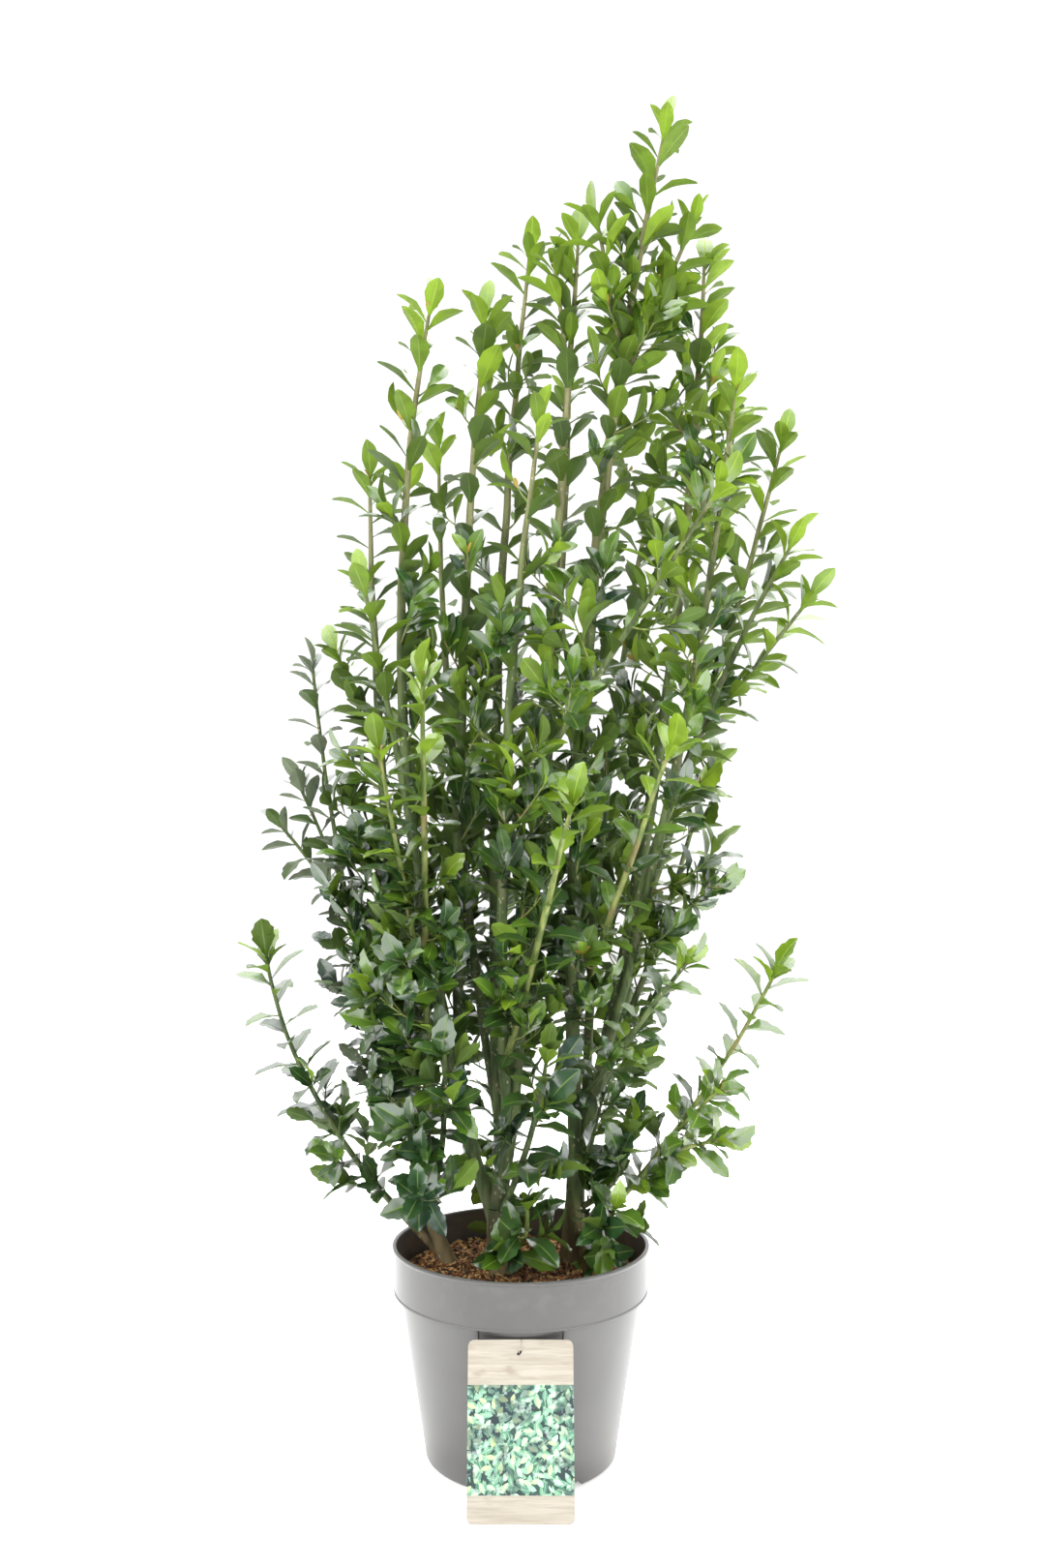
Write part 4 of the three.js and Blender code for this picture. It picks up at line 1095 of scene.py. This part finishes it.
def leaf_form(rows, wide, widest, teeth, wedge, thick, fold, curl, twist):
    """One leaf, one unit long, along Y with its face up: an upper and a lower sheet that share an edge."""
    form = bmesh.new()
    across = (-1, -RIB, RIB, 1)
    for side in (1, -1):
        sheet = bmesh.ops.create_grid(form, x_segments=3, y_segments=rows, size=1)["verts"]
        for vert in sheet:
            u = across[round((vert.co.x + 1) * 1.5)]
            row = round((vert.co.y + 1) / 2 * rows)
            pointed = row % 2 == 1 and 1 < row < rows
            v = 1 - (1 - (row + (0.3 if pointed else 0)) / rows) ** 1.3
            if v < widest:
                half = wide * math.sin(v / widest * math.pi / 2) ** wedge
            else:
                half = wide * math.cos((v - widest) / (1 - widest) * math.pi / 2) ** 0.62
            half = max(half, 0.016)
            edge = abs(u) == 1
            if edge and 1 < row < rows:
                half *= 1 + (teeth if pointed else -0.5 * teeth)
            body = 0 if edge or row in (0, rows) else thick / 2 * (1.5 if side == 1 else 1.8)
            height = fold * abs(u) * half / wide * 0.55 + curl * v * v + 0.05 * math.sin(v * math.pi)
            height += 0.15 * teeth * math.sin(v * 15 + (1 if u > 0 else 0)) * abs(u)
            along = v * (1 - 0.06 * abs(curl))
            vert.co = (u * half, along, height + side * body + twist * u * v * half / wide * 0.6)
        for face in {face for vert in sheet for face in vert.link_faces}:
            is_rib = max(abs(vert.co.x) for vert in face.verts) < wide * RIB * 1.2
            face.material_index = 1 if is_rib else 0 if side == 1 else 2
            if side == -1:
                face.normal_flip()
    bmesh.ops.remove_doubles(form, verts=form.verts, dist=2e-4)
    return mesh_arrays(form)


leaf_forms = {
    (kind, bend): leaf_form(**row, fold=fold, curl=curl, twist=twist)
    for kind, row in LEAF_KINDS.items() for bend, (fold, curl, twist) in enumerate(LEAF_BENDS)
}

# Each shade's upper side, deep and pale, its underside, how rough it is and the slot it belongs to.
SHADES = {
    "russet": ((150, 104, 44), (176, 148, 52), (186, 164, 84), 0.34, "top_foliage"),
    "lime": ((102, 134, 30), (128, 158, 38), (138, 170, 42), 0.3, "top_foliage"),
    "fresh": ((70, 104, 28), (92, 126, 36), (112, 142, 38), 0.28, "top_foliage"),
    "leaf": ((38, 68, 28), (55, 87, 34), (90, 116, 38), 0.25, "top_foliage"),
    "deep": ((29, 60, 31), (44, 79, 38), (86, 112, 44), 0.23, "low_foliage"),
    "dark": ((24, 53, 38), (37, 72, 48), (88, 113, 54), 0.22, "low_foliage"),
    "dull": ((46, 66, 56), (64, 84, 68), (112, 124, 96), 0.3, "low_foliage"),
}


def shade_of(name, kind, light, luck):
    """The shade of one leaf, by how light it should be and by its luck."""
    if kind == "newest" and luck < 0.45 and light > 0.8:
        return "russet"
    if name == "grey":
        return "dull" if luck < 0.75 else "dark"
    light += (luck - 0.5) * 0.56
    limits = (("lime", 0.96), ("fresh", 0.68), ("leaf", 0.43), ("deep", 0.27), ("dark", -9))
    return next(shade for shade, least in limits if light > least)


# Each leaf is dealt to the piece of its shade. Low down on the plant leaves are spiny.
dealt = {}
for name, root, ahead, face, length, kind, light, luck, chance in leaves:
    form_kind = "spiny" if kind != "newest" and root.z < 480 + 380 * chance else kind
    bend = int(luck * 97) % len(LEAF_BENDS)
    sideways = (root.x - SHADED["x"]) / SHADED["wide"]
    upwards = (root.z - SHADED["z"]) / SHADED["high"]
    if kind == "grown":
        light -= SHADED["darker"] * math.exp(-sideways * sideways - upwards * upwards)
    across = ahead.cross(face)
    basis = np.array([across * length * (0.82 + 0.42 * chance), ahead * length, face * length]).T * MM
    place_here = np.hstack([basis, np.array(root * MM).reshape(3, 1)])
    group = dealt.setdefault(shade_of(name, kind, light, luck), {"owners": set(), "places": {}})
    group["owners"].add("foliage_" + name)
    group["places"].setdefault((form_kind, bend), []).append(place_here)

for shade_name, group in dealt.items():
    deep, pale, under, gloss, foliage_slot = SHADES[shade_name]
    blade, blade_shader, place = new_finish(
        "blade_" + shade_name, Metallic=0.0, Coat_Weight=1.0, Coat_Roughness=0.2, Coat_IOR=1.95)
    patches = spots_of(place, 32, 2.0).steps(0.3, 0.7)
    cells = spots_of(place, 420, 2.0)
    feed(
        blade_shader, Base_Color=patches.blend(tint(*deep), tint(*pale)), Roughness=gloss + cells * 0.16,
        Normal=relief(cells, 0.0004, 0.7))
    rib, rib_shader, place = new_finish("rib_" + shade_name, Metallic=0.0)
    lift = tuple(int(part * 0.85 + 38) for part in under)
    rib_patches = spots_of(place, 60, 1.0)
    feed(
        rib_shader, Base_Color=rib_patches.blend(tint(*under), tint(*lift)),
        Roughness=0.4 + rib_patches * 0.1)
    back, back_shader, place = new_finish("underside_" + shade_name, Metallic=0.0)
    back_patches = spots_of(place, 40, 2.0).steps(0.3, 0.7)
    dim = tuple(int(part * 0.84) for part in under)
    feed(
        back_shader, Base_Color=back_patches.blend(tint(*dim), tint(*under)),
        Roughness=0.5 + back_patches * 0.12)
    parts = [(leaf_forms[key], places) for key, places in group["places"].items()]
    piece = joined("leaves_" + shade_name, parts, [blade, rib, back], 55)
    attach(piece, "root")
    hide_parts(*sorted(group["owners"]))
